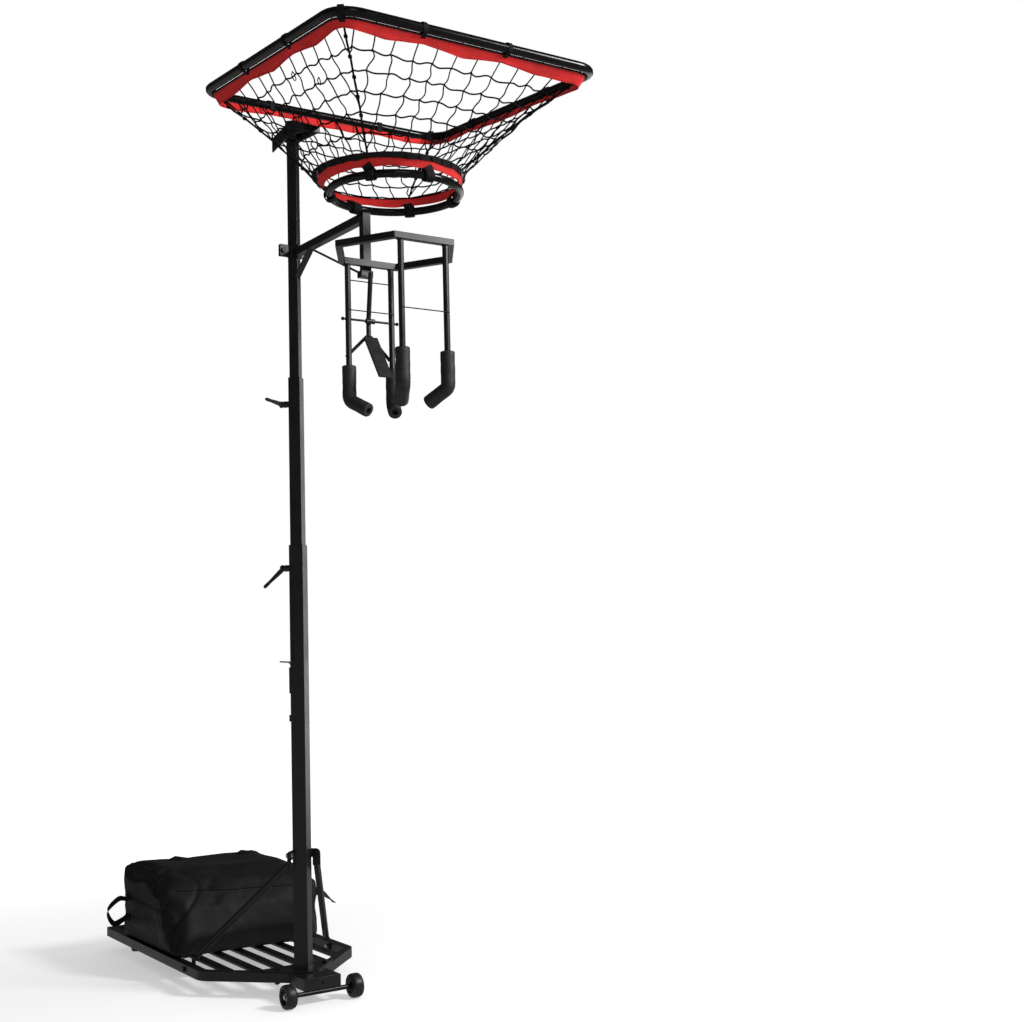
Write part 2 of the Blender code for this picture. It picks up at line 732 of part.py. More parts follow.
def ear_plane(side, away):
    """The upright plane parallel to a rear face of the mast, local X across the face."""
    across = ear_point(side, 1, 0, 0)
    up = Vector((0, 0, 1))
    basis = Matrix((across, up, across.cross(up))).transposed().to_4x4()
    return Matrix.Translation(ear_point(side, 0, away, 0)) @ basis


def build_mast():
    lower = square_tube("mast_lower", MAST_OUTER, MAST_BOTTOM, LOWER_TOP)
    for side in (-1, 1):
        ear = [Vector((EAR_CENTRE + point.x, BRACE_TOP_Z + point.y))
               for point in tab_loop(EAR_CENTRE - MAST_HALF / 2, EAR_RADIUS)]
        plane = ear_plane(side, EAR_FACE + EAR_THICKNESS / 2)
        join(lower, flat_mesh("ear", (ear,), EAR_THICKNESS, plane))
        cut(lower, prism_mesh("ear_hole", ear_point(side, EAR_CENTRE, EAR_FACE - 0.01, BRACE_TOP_Z),
                              ear_point(side, EAR_CENTRE, EAR_REAR + 0.01, BRACE_TOP_Z), BOLT_HOLE, 12))
        cheek_in = CATCH_WIDTH / 2 + 0.0008
        cheek = sorted((side * cheek_in, side * (cheek_in + CHEEK_THICKNESS)))
        join(lower, mast_box("cheek",
                             (MAST_HALF - 0.001, cheek[0], CATCH_PIVOT_Z - CATCH_TAIL),
                             (MAST_HALF + CATCH_STANDOFF + CATCH_THICKNESS + 0.003, cheek[1],
                              CATCH_PIVOT_Z + CATCH_TAIL)))
    pin_reach = catch_pin_half() + 0.004
    pin_side = MAST_HALF + CATCH_STANDOFF + CATCH_THICKNESS / 2
    cut(lower, mast_prism("pin_hole", (pin_side, -pin_reach, CATCH_PIVOT_Z), (pin_side, pin_reach, CATCH_PIVOT_Z),
                          CATCH_PIN_RADIUS + PIN_CLEARANCE, 10))
    cut(lower, mast_box("slot", (SLOT_SIDE - SLOT_WIDTH / 2, MAST_HALF - MAST_WALL - 0.004, SLOT_LOW),
                        (SLOT_SIDE + SLOT_WIDTH / 2, MAST_HALF + 0.004, SLOT_HIGH)))
    clamp_boss(lower, MAST_HALF, CLAMP_LOWER_Z)
    middle = square_tube("mast_middle", MIDDLE_OUTER, MIDDLE_BOTTOM, MIDDLE_TOP)
    clamp_boss(middle, MIDDLE_HALF, CLAMP_UPPER_Z)
    upper = square_tube("mast_upper", UPPER_OUTER, UPPER_BOTTOM, UPPER_TOP)
    cut(upper, prism_mesh("pivot_hole", (-0.03, 0, TILT_Z), (0.03, 0, TILT_Z), BOLT_HOLE, 12))
    build_glide("middle_glide", MAST_HALF - MAST_WALL, MIDDLE_HALF, MIDDLE_BOTTOM)
    build_glide("upper_glide", MIDDLE_HALF - MAST_WALL, UPPER_HALF, UPPER_BOTTOM)


def build_glide(name, bore_half, tube_half, tube_bottom):
    """A plastic glide that plugs the foot of a sliding tube and fills the tube around it."""
    head = bore_half - GLIDE_CLEARANCE
    spigot = tube_half - MAST_WALL - GLIDE_CLEARANCE
    top = tube_bottom - GAP
    glide = place(name, mast_box(name, (-head, -head, top - GLIDE_HEIGHT), (head, head, top)), "black_plastic")
    join(glide, mast_box("spigot", (-spigot, -spigot, top - 0.001), (spigot, spigot, top + GLIDE_HEIGHT)))


def catch_pin_half():
    """Half the length of the catch's pin between its ends."""
    return CATCH_WIDTH / 2 + 0.0008 + CHEEK_THICKNESS + 0.0015


def build_catch():
    """The spring catch: a leaf with a bent finger tab, its grip sleeve and its pin."""
    leaf_side = MAST_HALF + CATCH_STANDOFF + CATCH_THICKNESS / 2
    centre = fillet_path(((leaf_side, CATCH_PIVOT_Z - CATCH_TAIL + 0.002), (leaf_side, CATCH_TOP_Z),
                          (MAST_HALF + CATCH_REACH, CATCH_TOP_Z + 0.002)), CATCH_BEND, 4)
    outer = []
    inner = []
    for index, point in enumerate(centre):
        ahead = centre[min(index + 1, len(centre) - 1)]
        behind = centre[max(index - 1, 0)]
        run = (ahead - behind).normalized()
        normal = Vector((-run.y, run.x)) * CATCH_THICKNESS / 2
        outer.append(point + normal)
        inner.append(point - normal)
    outline = outer + inner[::-1]
    upright = MAST_MATRIX @ Matrix.Rotation(math.radians(90), 4, "X")
    leaf = place("catch_leaf", flat_mesh("catch_leaf", (outline,), CATCH_WIDTH, upright), "catch_steel")
    cut(leaf, mast_prism("leaf_hole", (leaf_side, -0.02, CATCH_PIVOT_Z), (leaf_side, 0.02, CATCH_PIVOT_Z),
                         CATCH_PIN_RADIUS + PIN_CLEARANCE, 10))
    half_depth = CATCH_THICKNESS / 2 + GAP
    half_width = CATCH_WIDTH / 2 + GAP
    grip_top = CATCH_TOP_Z - CATCH_BEND - CATCH_THICKNESS
    grip_low = grip_top - GRIP_LENGTH
    back = min(GRIP_WALL, CATCH_STANDOFF - 2 * GAP)
    grip = place("catch_grip", mast_box("catch_grip",
                 (leaf_side - half_depth - back, -half_width - GRIP_WALL, grip_low),
                 (leaf_side + half_depth + GRIP_WALL, half_width + GRIP_WALL, grip_top)), "black_plastic")
    cut(grip, mast_box("grip_bore", (leaf_side - half_depth, -half_width, grip_low - 0.01),
                       (leaf_side + half_depth, half_width, grip_top + 0.01)))
    pin_half = catch_pin_half()
    place("catch_pin", mast_prism("catch_pin", (leaf_side, -pin_half, CATCH_PIVOT_Z),
                                  (leaf_side, pin_half, CATCH_PIVOT_Z), CATCH_PIN_RADIUS, 12), "zinc")
    hinge = empty_at("catch_axis", mast_point(leaf_side, 0, CATCH_PIVOT_Z), MAST_TURN)
    carry(hinge, leaf, grip)


def build_clamp_lever(name, half, inner_half, height, lean, swing):
    """A clamp lever: moulded hub and handle on a threaded stud that presses the inner tube."""
    stud_tip = inner_half + GAP
    hub_in = half + BOSS_LENGTH + 0.0005
    hub_out = hub_in + HUB_LENGTH
    rib = 0.0012
    profile = ((0, HUB_LENGTH), (HUB_RADIUS - 0.002, HUB_LENGTH), (HUB_RADIUS, HUB_LENGTH - 0.003),
               (HUB_RADIUS, HUB_LENGTH * 0.62), (HUB_RADIUS - rib, HUB_LENGTH * 0.56),
               (HUB_RADIUS - rib, HUB_LENGTH * 0.42), (HUB_RADIUS, HUB_LENGTH * 0.36),
               (HUB_RADIUS, HUB_LENGTH * 0.16), (HUB_RADIUS - rib, 0), (0, 0))
    to_side = MAST_MATRIX @ Matrix.Translation((hub_in, 0, height)) @ Matrix.Rotation(math.radians(90), 4, "Y")
    lever = place(name, moved(turned_mesh(name, profile, ROUND_SIDES), to_side), "black_plastic")
    join(lever, mast_prism("stud", (stud_tip, 0, height), (hub_in + 0.004, 0, height), STUD_RADIUS, 12))
    start = Vector((hub_out - HUB_LENGTH * 0.4, 0, height))
    across = Vector((0, math.cos(swing), math.sin(swing)))
    reach = Vector((1, 0, 0)) * math.cos(lean) + across * math.sin(lean)
    points = [MAST_MATRIX @ (start + reach * HANDLE_LENGTH * share) for share in (0, 0.2, 0.45, 0.7, 0.93, 1)]
    thin = HANDLE_THIN / HANDLE_THICK
    radii = [1, 0.95, 0.5 + thin / 2, thin, thin * 1.15, thin * 0.8]
    join(lever, tube_mesh("handle", points, HANDLE_THICK, 3, radii=radii))
    hinge = empty_at(name + "_axis", mast_point(half, 0, height), MAST_TURN)
    carry(hinge, lever)
    return smooth(lever)


def build_brace(name, side):
    """A round brace with a flattened tab at each end, and its two bolts."""
    tab_near = EAR_REAR + GAP
    tab_far = tab_near + TAB_THICKNESS
    tab = [Vector((EAR_CENTRE + point.y, BRACE_TOP_Z + point.x)) for point in tab_loop(TAB_DROP, TAB_WIDTH / 2)]
    plane = ear_plane(side, (tab_near + tab_far) / 2)
    start = ear_point(side, EAR_CENTRE, (tab_near + tab_far) / 2, BRACE_TOP_Z - TAB_DROP + 0.010)
    rail_tab = RAIL_INNER - GAP
    end = Vector((side * (rail_tab - BRACE_RADIUS - 0.001), BRACE_RAIL_Y - 0.006, FRAME_TOP + 0.020))
    brace = place(name, tube_mesh(name, (start, end), BRACE_RADIUS, 4), "black_paint")
    join(brace, flat_mesh("top_tab", (tab,), TAB_THICKNESS, plane))
    tab_x = sorted((side * rail_tab, side * (rail_tab - TAB_THICKNESS)))
    join(brace, box_mesh("rail_tab", (tab_x[0], BRACE_RAIL_Y - TAB_WIDTH / 2, FRAME_MIDDLE - 0.010),
                         (tab_x[1], BRACE_RAIL_Y + TAB_WIDTH / 2, FRAME_TOP + 0.016)))
    root_x = sorted((side * (rail_tab - 0.001), side * (rail_tab - BRACE_RADIUS * 1.6)))
    join(brace, box_mesh("rail_tab_root", (root_x[0], BRACE_RAIL_Y - 0.010, FRAME_TOP + 0.006),
                         (root_x[1], BRACE_RAIL_Y + 0.004, FRAME_TOP + 0.015)))
    cut(brace, prism_mesh("tab_hole", ear_point(side, EAR_CENTRE, tab_near - 0.01, BRACE_TOP_Z),
                          ear_point(side, EAR_CENTRE, tab_far + 0.012, BRACE_TOP_Z), BOLT_HOLE, 12),
        prism_mesh("tab_hole_low", (side * (RAIL_INNER + 0.01), BRACE_RAIL_Y, FRAME_MIDDLE),
                   (side * (RAIL_INNER - 0.012), BRACE_RAIL_Y, FRAME_MIDDLE), BOLT_HOLE, 12))
    smooth(brace)
    label = name.split("_")[1]
    through_bolt("brace_top_bolt_" + label,
                 ear_point(side, EAR_CENTRE, EAR_FACE - GAP, BRACE_TOP_Z),
                 ear_point(side, EAR_CENTRE, tab_far + GAP, BRACE_TOP_Z), "zinc")
    through_bolt("brace_rail_bolt_" + label,
                 (side * (FRAME_HALF_WIDTH + GAP), BRACE_RAIL_Y, FRAME_MIDDLE),
                 (side * (rail_tab - TAB_THICKNESS - GAP), BRACE_RAIL_Y, FRAME_MIDDLE), "zinc")


def clamp_outline(sign):
    """One V-shaped clamp plate round a corner of the mast, in plan."""
    corner = UPPER_CORNER + GAP * math.sqrt(2)
    split = CLAMP_SPLIT
    outer_corner = corner + CLAMP_PLATE * math.sqrt(2)
    bend_in = corner - split
    bend_out = outer_corner - split - CLAMP_PLATE
    points = [(-CLAMP_HALF_WIDTH, split), (-bend_in, split), (0, corner), (bend_in, split),
              (CLAMP_HALF_WIDTH, split), (CLAMP_HALF_WIDTH, split + CLAMP_PLATE),
              (bend_out, split + CLAMP_PLATE), (0, outer_corner), (-bend_out, split + CLAMP_PLATE),
              (-CLAMP_HALF_WIDTH, split + CLAMP_PLATE)]
    return [Vector((x, sign * y)) for x, y in points]


def build_head_frame():
    plate_reach = CLAMP_SPLIT + CLAMP_PLATE
    for name, sign in (("head_clamp_front", -1), ("head_clamp_rear", 1)):
        plate = place(name, flat_mesh(name, (clamp_outline(sign),), CLAMP_HEIGHT,
                                      Matrix.Translation((0, 0, CLAMP_Z))), "black_paint")
        for side in (-1, 1):
            cut(plate, prism_mesh("clamp_hole", (side * CLAMP_BOLT_X, -0.02, CLAMP_Z),
                                  (side * CLAMP_BOLT_X, 0.02, CLAMP_Z), BOLT_HOLE, 12))
    for name, side in (("clamp_bolt_left", -1), ("clamp_bolt_right", 1)):
        through_bolt(name, (side * CLAMP_BOLT_X, -plate_reach - GAP, CLAMP_Z),
                     (side * CLAMP_BOLT_X, plate_reach + GAP, CLAMP_Z), "black_zinc")
    half = ARM_TUBE / 2
    apex = UPPER_CORNER + GAP * math.sqrt(2) + CLAMP_PLATE * math.sqrt(2) + GAP * math.sqrt(2)
    arm = place("head_arm", box_mesh("head_arm", (-half, POST_BACK + GAP, ARM_Z - half),
                                     (half, -apex + half + 0.002, ARM_Z + half)), "black_paint")
    wedge = box_mesh("arm_notch", (-apex / math.sqrt(2), -apex / math.sqrt(2), -0.05),
                     (apex / math.sqrt(2), apex / math.sqrt(2), 0.05))
    cut(arm, moved(wedge, Matrix.Translation((0, 0, ARM_Z)) @ Matrix.Rotation(math.radians(45), 4, "Z")))
    post = place("head_post", box_mesh("head_post", (-half, POST_FRONT, POST_BOTTOM),
                                       (half, POST_BACK, RING_Z - RING_TUBE - GAP)), "black_paint")
    join(post, box_mesh("post_block", (-POST_BLOCK_WIDTH / 2, POST_FRONT + 0.001, POST_BOTTOM - POST_BLOCK_HEIGHT),
                        (POST_BLOCK_WIDTH / 2, POST_BACK + 0.004, POST_BOTTOM + 0.001)))
    build_arm_brace()
    stay_side = half + STAY_RADIUS + GAP
    stay_top = Vector((stay_side, STAY_Y, ARM_Z - half * 0.5))
    stay_end = Vector((stay_side, POST_BACK + 0.004 + GAP + STAY_RADIUS + 0.004, POST_BOTTOM - 0.006))
    stay = place("stay_rod", tube_mesh("stay_rod", (
        stay_top + Vector((0, 0.022, 0)), stay_top, stay_end), STAY_RADIUS, 2), "black_paint")
    smooth(stay)


def build_arm_brace():
    """The short flat strip that props the arm from the mast."""
    strip_top = Vector((0, -BRACE_STRIP_REACH, ARM_Z - ARM_TUBE / 2 - GAP))
    strip_low = Vector((0, -UPPER_CORNER - GAP * 2, BRACE_STRIP_LOW_Z))
    run = (strip_top - strip_low).normalized()
    normal = Vector((0, -run.z, run.y)) * BRACE_STRIP_THICKNESS / 2
    along_run = run * 0.5
    points = [strip_low - along_run + normal, strip_top + along_run + normal,
              strip_top + along_run - normal, strip_low - along_run - normal]
    plane = Matrix(((0, 0, 1, 0), (1, 0, 0, 0), (0, 1, 0, 0), (0, 0, 0, 1)))
    outline = [Vector((point.y, point.z)) for point in points]
    brace = place("arm_brace", flat_mesh("arm_brace", (outline,), BRACE_STRIP_WIDTH, plane), "black_paint")
    top_z = ARM_Z - ARM_TUBE / 2 - GAP
    cut(brace, box_mesh("brace_trim_top", (-0.1, -1.2, top_z), (0.1, 1.2, top_z + 1.2)))
    corner = UPPER_CORNER + GAP * math.sqrt(2)
    side = corner / math.sqrt(2)
    trim = box_mesh("brace_trim_mast", (-side, -side, -0.5), (side, side, 0.5))
    cut(brace, moved(trim, Matrix.Translation((0, 0, BRACE_STRIP_LOW_Z)) @ Matrix.Rotation(math.radians(45), 4, "Z")))
    cut(brace, box_mesh("brace_trim_back", (-0.1, -UPPER_CORNER * 0.4, 0.5), (0.1, 1.5, 3.5)))


def build_ring():
    bpy.ops.mesh.primitive_torus_add(major_radius=RING_RADIUS, minor_radius=RING_TUBE,
                                     major_segments=72, minor_segments=8)
    made = bpy.context.active_object
    mesh = made.data
    bpy.data.objects.remove(made, do_unlink=True)
    ring = place("ring", mesh, "black_paint")
    ring.location = (0, HOLDER_Y, RING_Z)
    smooth(ring)


def build_hexagon():
    outer = [Vector((HEX_RADIUS * math.cos(math.radians(60 * k)), HEX_RADIUS * math.sin(math.radians(60 * k))))
             for k in range(6)]
    inner = [point * HEX_INNER / HEX_RADIUS for point in outer]
    matrix = Matrix.Translation((0, HEX_CENTRE_Y, (HEX_TOP + HEX_BOTTOM) / 2))
    place("hex_frame", flat_mesh("hex_frame", (outer, inner), HEX_BAR, matrix), "black_paint")


def finger_path(side, back, end_cut):
    """The centreline of one bent finger, from under the hexagon to near its tip."""
    y = FINGER_BACK_Y if back else FINGER_FRONT_Y
    corner = Vector((side * FINGER_X, y, FINGER_BEND_Z))
    inward = (Vector((0, HEX_CENTRE_Y, FINGER_BEND_Z)) - corner).normalized()
    slant = inward * math.cos(FINGER_DIP) - Vector((0, 0, 1)) * math.sin(FINGER_DIP)
    tip = corner + slant * (FINGER_REACH / math.cos(FINGER_DIP) - end_cut)
    return [Vector((corner.x, corner.y, HEX_BOTTOM - GAP)), corner, tip]


def build_fingers():
    for row, back in (("back", True), ("front", False)):
        y = FINGER_BACK_Y if back else FINGER_FRONT_Y
        first = tube_mesh("finger", fillet_path(finger_path(-1, back, GRIP_OVERHANG), FINGER_BEND_RADIUS),
                          FINGER_RADIUS, 3)
        second = tube_mesh("finger", fillet_path(finger_path(1, back, GRIP_OVERHANG), FINGER_BEND_RADIUS),
                           FINGER_RADIUS, 3)
        pair = place("finger_pair_" + row, first, "black_paint")
        join(pair, second)
        reach = FINGER_X + FINGER_RADIUS * 0.5
        touch = FINGER_RADIUS
        wires = ((WIRE_BACK_HIGH_Z, y + touch), (WIRE_BACK_LOW_Z, y - touch)) if back else ((WIRE_FRONT_Z, y - touch),)
        for height, wire_y in wires:
            join(pair, prism_mesh("guard_wire", (-reach, wire_y, height), (reach, wire_y, height), WIRE_RADIUS, 8))
        if back:
            for side in (-1, 1):
                cut(pair, prism_mesh("rod_hole", (side * (FINGER_X - 0.012), y, ROD_Z),
                                     (side * (FINGER_X + 0.012), y, ROD_Z), ROD_RADIUS + PIN_CLEARANCE, 10))
        smooth(pair)
        for label, side in (("left", -1), ("right", 1)):
            build_grip("grip_" + row + "_" + label, side, back)


def build_grip(name, side, back):
    """A bent foam sleeve, bored for its finger, open at the tip."""
    path = finger_path(side, back, 0)
    path[0] = Vector((path[0].x, path[0].y, GRIP_TOP_Z))
    sleeve = tube_mesh(name, fillet_path(path, FINGER_BEND_RADIUS, 5), GRIP_RADIUS, 3)
    run = (path[2] - path[1]).normalized()
    bore = [path[0] + Vector((0, 0, 0.01)), path[1], path[2] + run * 0.01]
    grip = place(name, sleeve, "foam")
    cut(grip, tube_mesh("grip_bore", fillet_path(bore, FINGER_BEND_RADIUS, 5), FINGER_RADIUS + GAP, 3))
    smooth(grip)


def build_release():
    """The rocking release lever, its paddle and the rod that it turns on."""
    axis_y = FINGER_BACK_Y
    lever_y = axis_y + ROD_RADIUS + LEVER_RADIUS
    top = Vector((0, lever_y - LEVER_LEAN, LEVER_TOP_Z))
    fork = Vector((0, lever_y, LEVER_FORK_Z))
    lever = place("release_lever", tube_mesh("release_lever", (top, Vector((0, lever_y, ROD_Z)), fork),
                                             LEVER_RADIUS, 3), "black_paint")
    leg_y = axis_y + FINGER_RADIUS + LEG_RADIUS + 0.001
    leg_z = LEVER_FORK_Z - LEG_DROP
    legs = fillet_path(((-FINGER_X, leg_y, leg_z), (0, lever_y, LEVER_FORK_Z + 0.004), (FINGER_X, leg_y, leg_z)),
                       0.010, 4)
    join(lever, tube_mesh("legs", legs, LEG_RADIUS, 3))
    join(lever, prism_mesh("knuckle", (-KNUCKLE_LENGTH / 2, axis_y, ROD_Z), (KNUCKLE_LENGTH / 2, axis_y, ROD_Z),
                           KNUCKLE_RADIUS))
    cut(lever, prism_mesh("knuckle_bore", (-0.03, axis_y, ROD_Z), (0.03, axis_y, ROD_Z),
                          ROD_RADIUS + PIN_CLEARANCE, 12))
    half = PADDLE_THICKNESS / 2
    hang = Matrix.Translation((0, axis_y, PADDLE_TOP_Z)) @ Matrix.Rotation(-PADDLE_LEAN, 4, "X")
    join(lever, moved(box_mesh("paddle_tongue", (-TONGUE_HALF, half + GAP, -TONGUE_REACH),
                               (TONGUE_HALF, half + GAP + TONGUE_GAUGE, 0.010)), hang))
    paddle = place("release_paddle", moved(box_mesh("release_paddle", (-PADDLE_WIDTH / 2, -half, -PADDLE_LENGTH),
                                                    (PADDLE_WIDTH / 2, half, 0)), hang), "black_plastic")
    bevel(paddle, 0.0015)
    rod = place("pivot_rod", prism_mesh("pivot_rod", (-ROD_HALF_LENGTH, axis_y, ROD_Z),
                                        (ROD_HALF_LENGTH, axis_y, ROD_Z), ROD_RADIUS, 12), "black_zinc")
    for side in (-1, 1):
        bm = bmesh.new()
        bmesh.ops.create_uvsphere(bm, u_segments=8, v_segments=6, radius=ROD_BALL_RADIUS)
        bmesh.ops.translate(bm, vec=(side * ROD_HALF_LENGTH, axis_y, ROD_Z), verts=bm.verts)
        join(rod, mesh_from(bm, "rod_ball"))
    smooth(lever)
    smooth(rod)
    hinge = empty_at("release_axis", (0, axis_y, ROD_Z))
    carry(hinge, lever, paddle)


RIM_MATRIX = Matrix.Translation((0, RIM_Y, RIM_Z)) @ Matrix.Rotation(RIM_TILT, 4, "X")


def rim_quarter(side, inset, drop, count):
    """Points along one side of the rim, from the middle of one corner to the next."""
    half_x = RIM_HALF_X - inset
    half_y = RIM_HALF_Y - inset
    radius = max(RIM_CORNER - inset, 0.004)
    along_half, across = ((half_x, half_y) if side in (0, 2) else (half_y, half_x))
    straight = 2 * (along_half - radius)
    arc = radius * math.pi / 4
    total = straight + 2 * arc
    turn = math.radians({0: 0, 1: 90, 2: 180, 3: 270}[side])
    points = []
    for step in range(count + 1):
        travelled = total * step / count
        if travelled < arc:
            angle = math.pi / 4 - travelled / radius
            x = along_half - radius + radius * math.sin(angle)
            y = across - radius + radius * math.cos(angle)
        elif travelled > arc + straight:
            angle = (travelled - arc - straight) / radius
            x = -(along_half - radius) - radius * math.sin(angle)
            y = across - radius + radius * math.cos(angle)
        else:
            x = along_half - radius - (travelled - arc)
            y = across
        flat = Matrix.Rotation(turn, 2) @ Vector((x, y))
        points.append(RIM_MATRIX @ Vector((flat.x, flat.y, -drop)))
    return points


def rim_loop(inset, drop, count):
    """The whole rim path, side by side."""
    points = []
    for side in range(4):
        points.extend(rim_quarter(side, inset, drop, count)[:-1])
    return points


def band_mesh(name, rows):
    """A closed strip through rows of points, to be thickened."""
    bm = bmesh.new()
    grid = [[bm.verts.new(point) for point in row] for row in rows]
    for upper, lower in zip(grid, grid[1:]):
        count = len(upper)
        for index in range(count):
            after = (index + 1) % count
            bm.faces.new((upper[index], lower[index], lower[after], upper[after]))
    return mesh_from(bm, name)


def thicken(item, thickness):
    modifier = item.modifiers.new("Thickness", "SOLIDIFY")
    modifier.thickness = thickness
    modifier.offset = 0
    modifier.use_even_offset = True
    return item


def wrap_loop(name, centre, tangent, up, bore, sides=14):
    """A webbing loop wrapped round a tube."""
    tangent = Vector(tangent).normalized()
    up = Vector(up)
    up = (up - tangent * up.dot(tangent)).normalized()
    right = up.cross(tangent)
    basis = Matrix((right, up, tangent)).transposed().to_4x4()
    loops = (circle(bore + LOOP_WALL, sides), circle(bore, sides))
    return flat_mesh(name, loops, LOOP_WIDTH, Matrix.Translation(centre) @ basis)


def band_rise():
    """How far the wall of the net moves in, and drops, for each metre along it."""
    run = RIM_HALF_X - LOWER_BAND_RADIUS
    fall = RIM_Z - LOWER_BAND_TOP
    length = math.hypot(run, fall)
    return run / length, fall / length


def build_rim():
    rim = place("rim", tube_mesh("rim", rim_loop(0, 0, 10), RIM_TUBE, 3, closed=True), "black_paint")
    back_edge = RIM_MATRIX @ Vector((0, RIM_HALF_Y, 0))
    line = math.tan(RIM_TILT)
    tongue_start = BEAM_FRONT - GAP - TONGUE_HEIGHT / 2 * line
    run = Vector((0, back_edge.y - tongue_start, back_edge.z - (TILT_Z + tongue_start * line)))
    middle = Vector((0, (back_edge.y + tongue_start) / 2, (back_edge.z + TILT_Z + tongue_start * line) / 2))
    angle = math.atan2(run.z, run.y) + math.pi
    matrix = Matrix.Translation(middle) @ Matrix.Rotation(angle, 4, "X")
    tongue = box_mesh("tongue", (-TONGUE_WIDTH / 2, -run.length / 2, -TONGUE_HEIGHT / 2),
                      (TONGUE_WIDTH / 2, run.length / 2, TONGUE_HEIGHT / 2))
    join(rim, moved(tongue, matrix))
    smooth(rim)
    beam = build_beam(line)
    return rim, beam


def build_beam(line):
    """The bent beam that straddles the mast top and carries the rim."""
    half = BEAM_HEIGHT / 2
    dip = math.tan(BEAM_BACK_DIP)
    outline = [Vector((BEAM_FRONT, TILT_Z + BEAM_FRONT * line - half)), Vector((0, TILT_Z - half)),
               Vector((BEAM_BACK, TILT_Z - BEAM_BACK * dip - half)), Vector((BEAM_BACK, TILT_Z - BEAM_BACK * dip + half)),
               Vector((0, TILT_Z + half)), Vector((BEAM_FRONT, TILT_Z + BEAM_FRONT * line + half))]
    plane = Matrix(((0, 0, 1, 0), (1, 0, 0, 0), (0, 1, 0, 0), (0, 0, 0, 1)))
    beam = place("tilt_beam", flat_mesh("tilt_beam", (outline,), 2 * BEAM_HALF_WIDTH, plane), "black_paint")
    roof = half - BEAM_CHEEK
    deep = half + 0.01
    inner_front = BEAM_FRONT + BEAM_CHEEK
    past_back = BEAM_BACK + 0.01
    hollow = [Vector((inner_front, TILT_Z + inner_front * line - deep)), Vector((0, TILT_Z - deep)),
              Vector((past_back, TILT_Z - past_back * dip - deep)),
              Vector((past_back, TILT_Z - past_back * dip + roof)),
              Vector((0, TILT_Z + roof)), Vector((inner_front, TILT_Z + inner_front * line + roof))]
    cut(beam, flat_mesh("beam_hollow", (hollow,), 2 * BEAM_INNER_HALF, plane))
    slot = UPPER_CORNER + BEAM_SLOT_CLEARANCE
    bolt_width = 2 * BEAM_HALF_WIDTH
    rear_hole_y = BEAM_BACK - 0.014
    rear_hole_z = TILT_Z - rear_hole_y * dip
    lock_z = TILT_Z + LOCK_BOLT_Y * line
    cut(beam, box_mesh("mast_slot", (-BEAM_INNER_HALF, -slot, TILT_Z - 0.1), (BEAM_INNER_HALF, slot, TILT_Z + 0.1)),
        prism_mesh("pivot_bore", (-bolt_width, 0, TILT_Z), (bolt_width, 0, TILT_Z), BOLT_HOLE, 12),
        prism_mesh("lock_bore", (-bolt_width, LOCK_BOLT_Y, lock_z), (bolt_width, LOCK_BOLT_Y, lock_z), BOLT_HOLE, 12),
        prism_mesh("rear_hole", (-bolt_width, rear_hole_y, rear_hole_z), (bolt_width, rear_hole_y, rear_hole_z),
                   0.0045, 12))
    face = BEAM_HALF_WIDTH + GAP
    through_bolt("tilt_pivot_bolt", (-face, 0, TILT_Z), (face, 0, TILT_Z), "black_zinc", head=0.0105)
    lock = through_bolt("tilt_lock_bolt", (-face, LOCK_BOLT_Y, lock_z), (face, LOCK_BOLT_Y, lock_z), "black_zinc")
    return beam, lock


def build_top_band():
    inward, fall = band_rise()
    start = RIM_TUBE + BAND_STANDOFF
    rows = [rim_loop(inward * (start + depth), fall * (start + depth), 12)
            for depth in (0, TOP_BAND_DEPTH)]
    band = place("top_band", band_mesh("top_band", rows), "red_fabric")
    thicken(band, BAND_THICKNESS)
    bore = RIM_TUBE + GAP
    up = RIM_MATRIX.to_3x3() @ Vector((0, 0, 1))
    for side in range(4):
        points = rim_quarter(side, 0, 0, 12)
        for index in (3, 9):
            tangent = points[index + 1] - points[index - 1]
            join(band, wrap_loop("rim_loop", points[index], tangent, up, bore))
    return band


def build_lower_band():
    circle_points = 40

    def row(radius, height):
        return [Vector((radius * math.cos(2 * math.pi * k / circle_points),
                        HOLDER_Y + radius * math.sin(2 * math.pi * k / circle_points), height))
                for k in range(circle_points)]

    rows = [row(LOWER_BAND_RADIUS, LOWER_BAND_TOP), row(RING_RADIUS + 0.004, LOWER_BAND_FOOT)]
    band = place("lower_band", band_mesh("lower_band", rows), "red_fabric")
    thicken(band, BAND_THICKNESS)
    for degrees in TAB_ANGLES:
        angle = math.radians(degrees)
        out = Vector((math.cos(angle), math.sin(angle), 0))
        centre = Vector((0, HOLDER_Y, RING_Z)) + out * RING_RADIUS
        tangent = Vector((-out.y, out.x, 0))
        bore = RING_TUBE + 2 * GAP + LOOP_WIDTH ** 2 / 8 / RING_RADIUS
        join(band, wrap_loop("ring_loop", centre, tangent, (0, 0, 1), bore))
        foot = Vector((0, HOLDER_Y, LOWER_BAND_FOOT)) + out * (RING_RADIUS + 0.004)
        basis = Matrix((tangent, -out, Vector((0, 0, 1)))).transposed().to_4x4()
        half = LOOP_WIDTH / 2 - 0.001
        web = box_mesh("ring_web", (-half, -0.0015, -0.003), (half, 0.0015, 0.006))
        join(band, moved(web, Matrix.Translation(foot) @ basis))


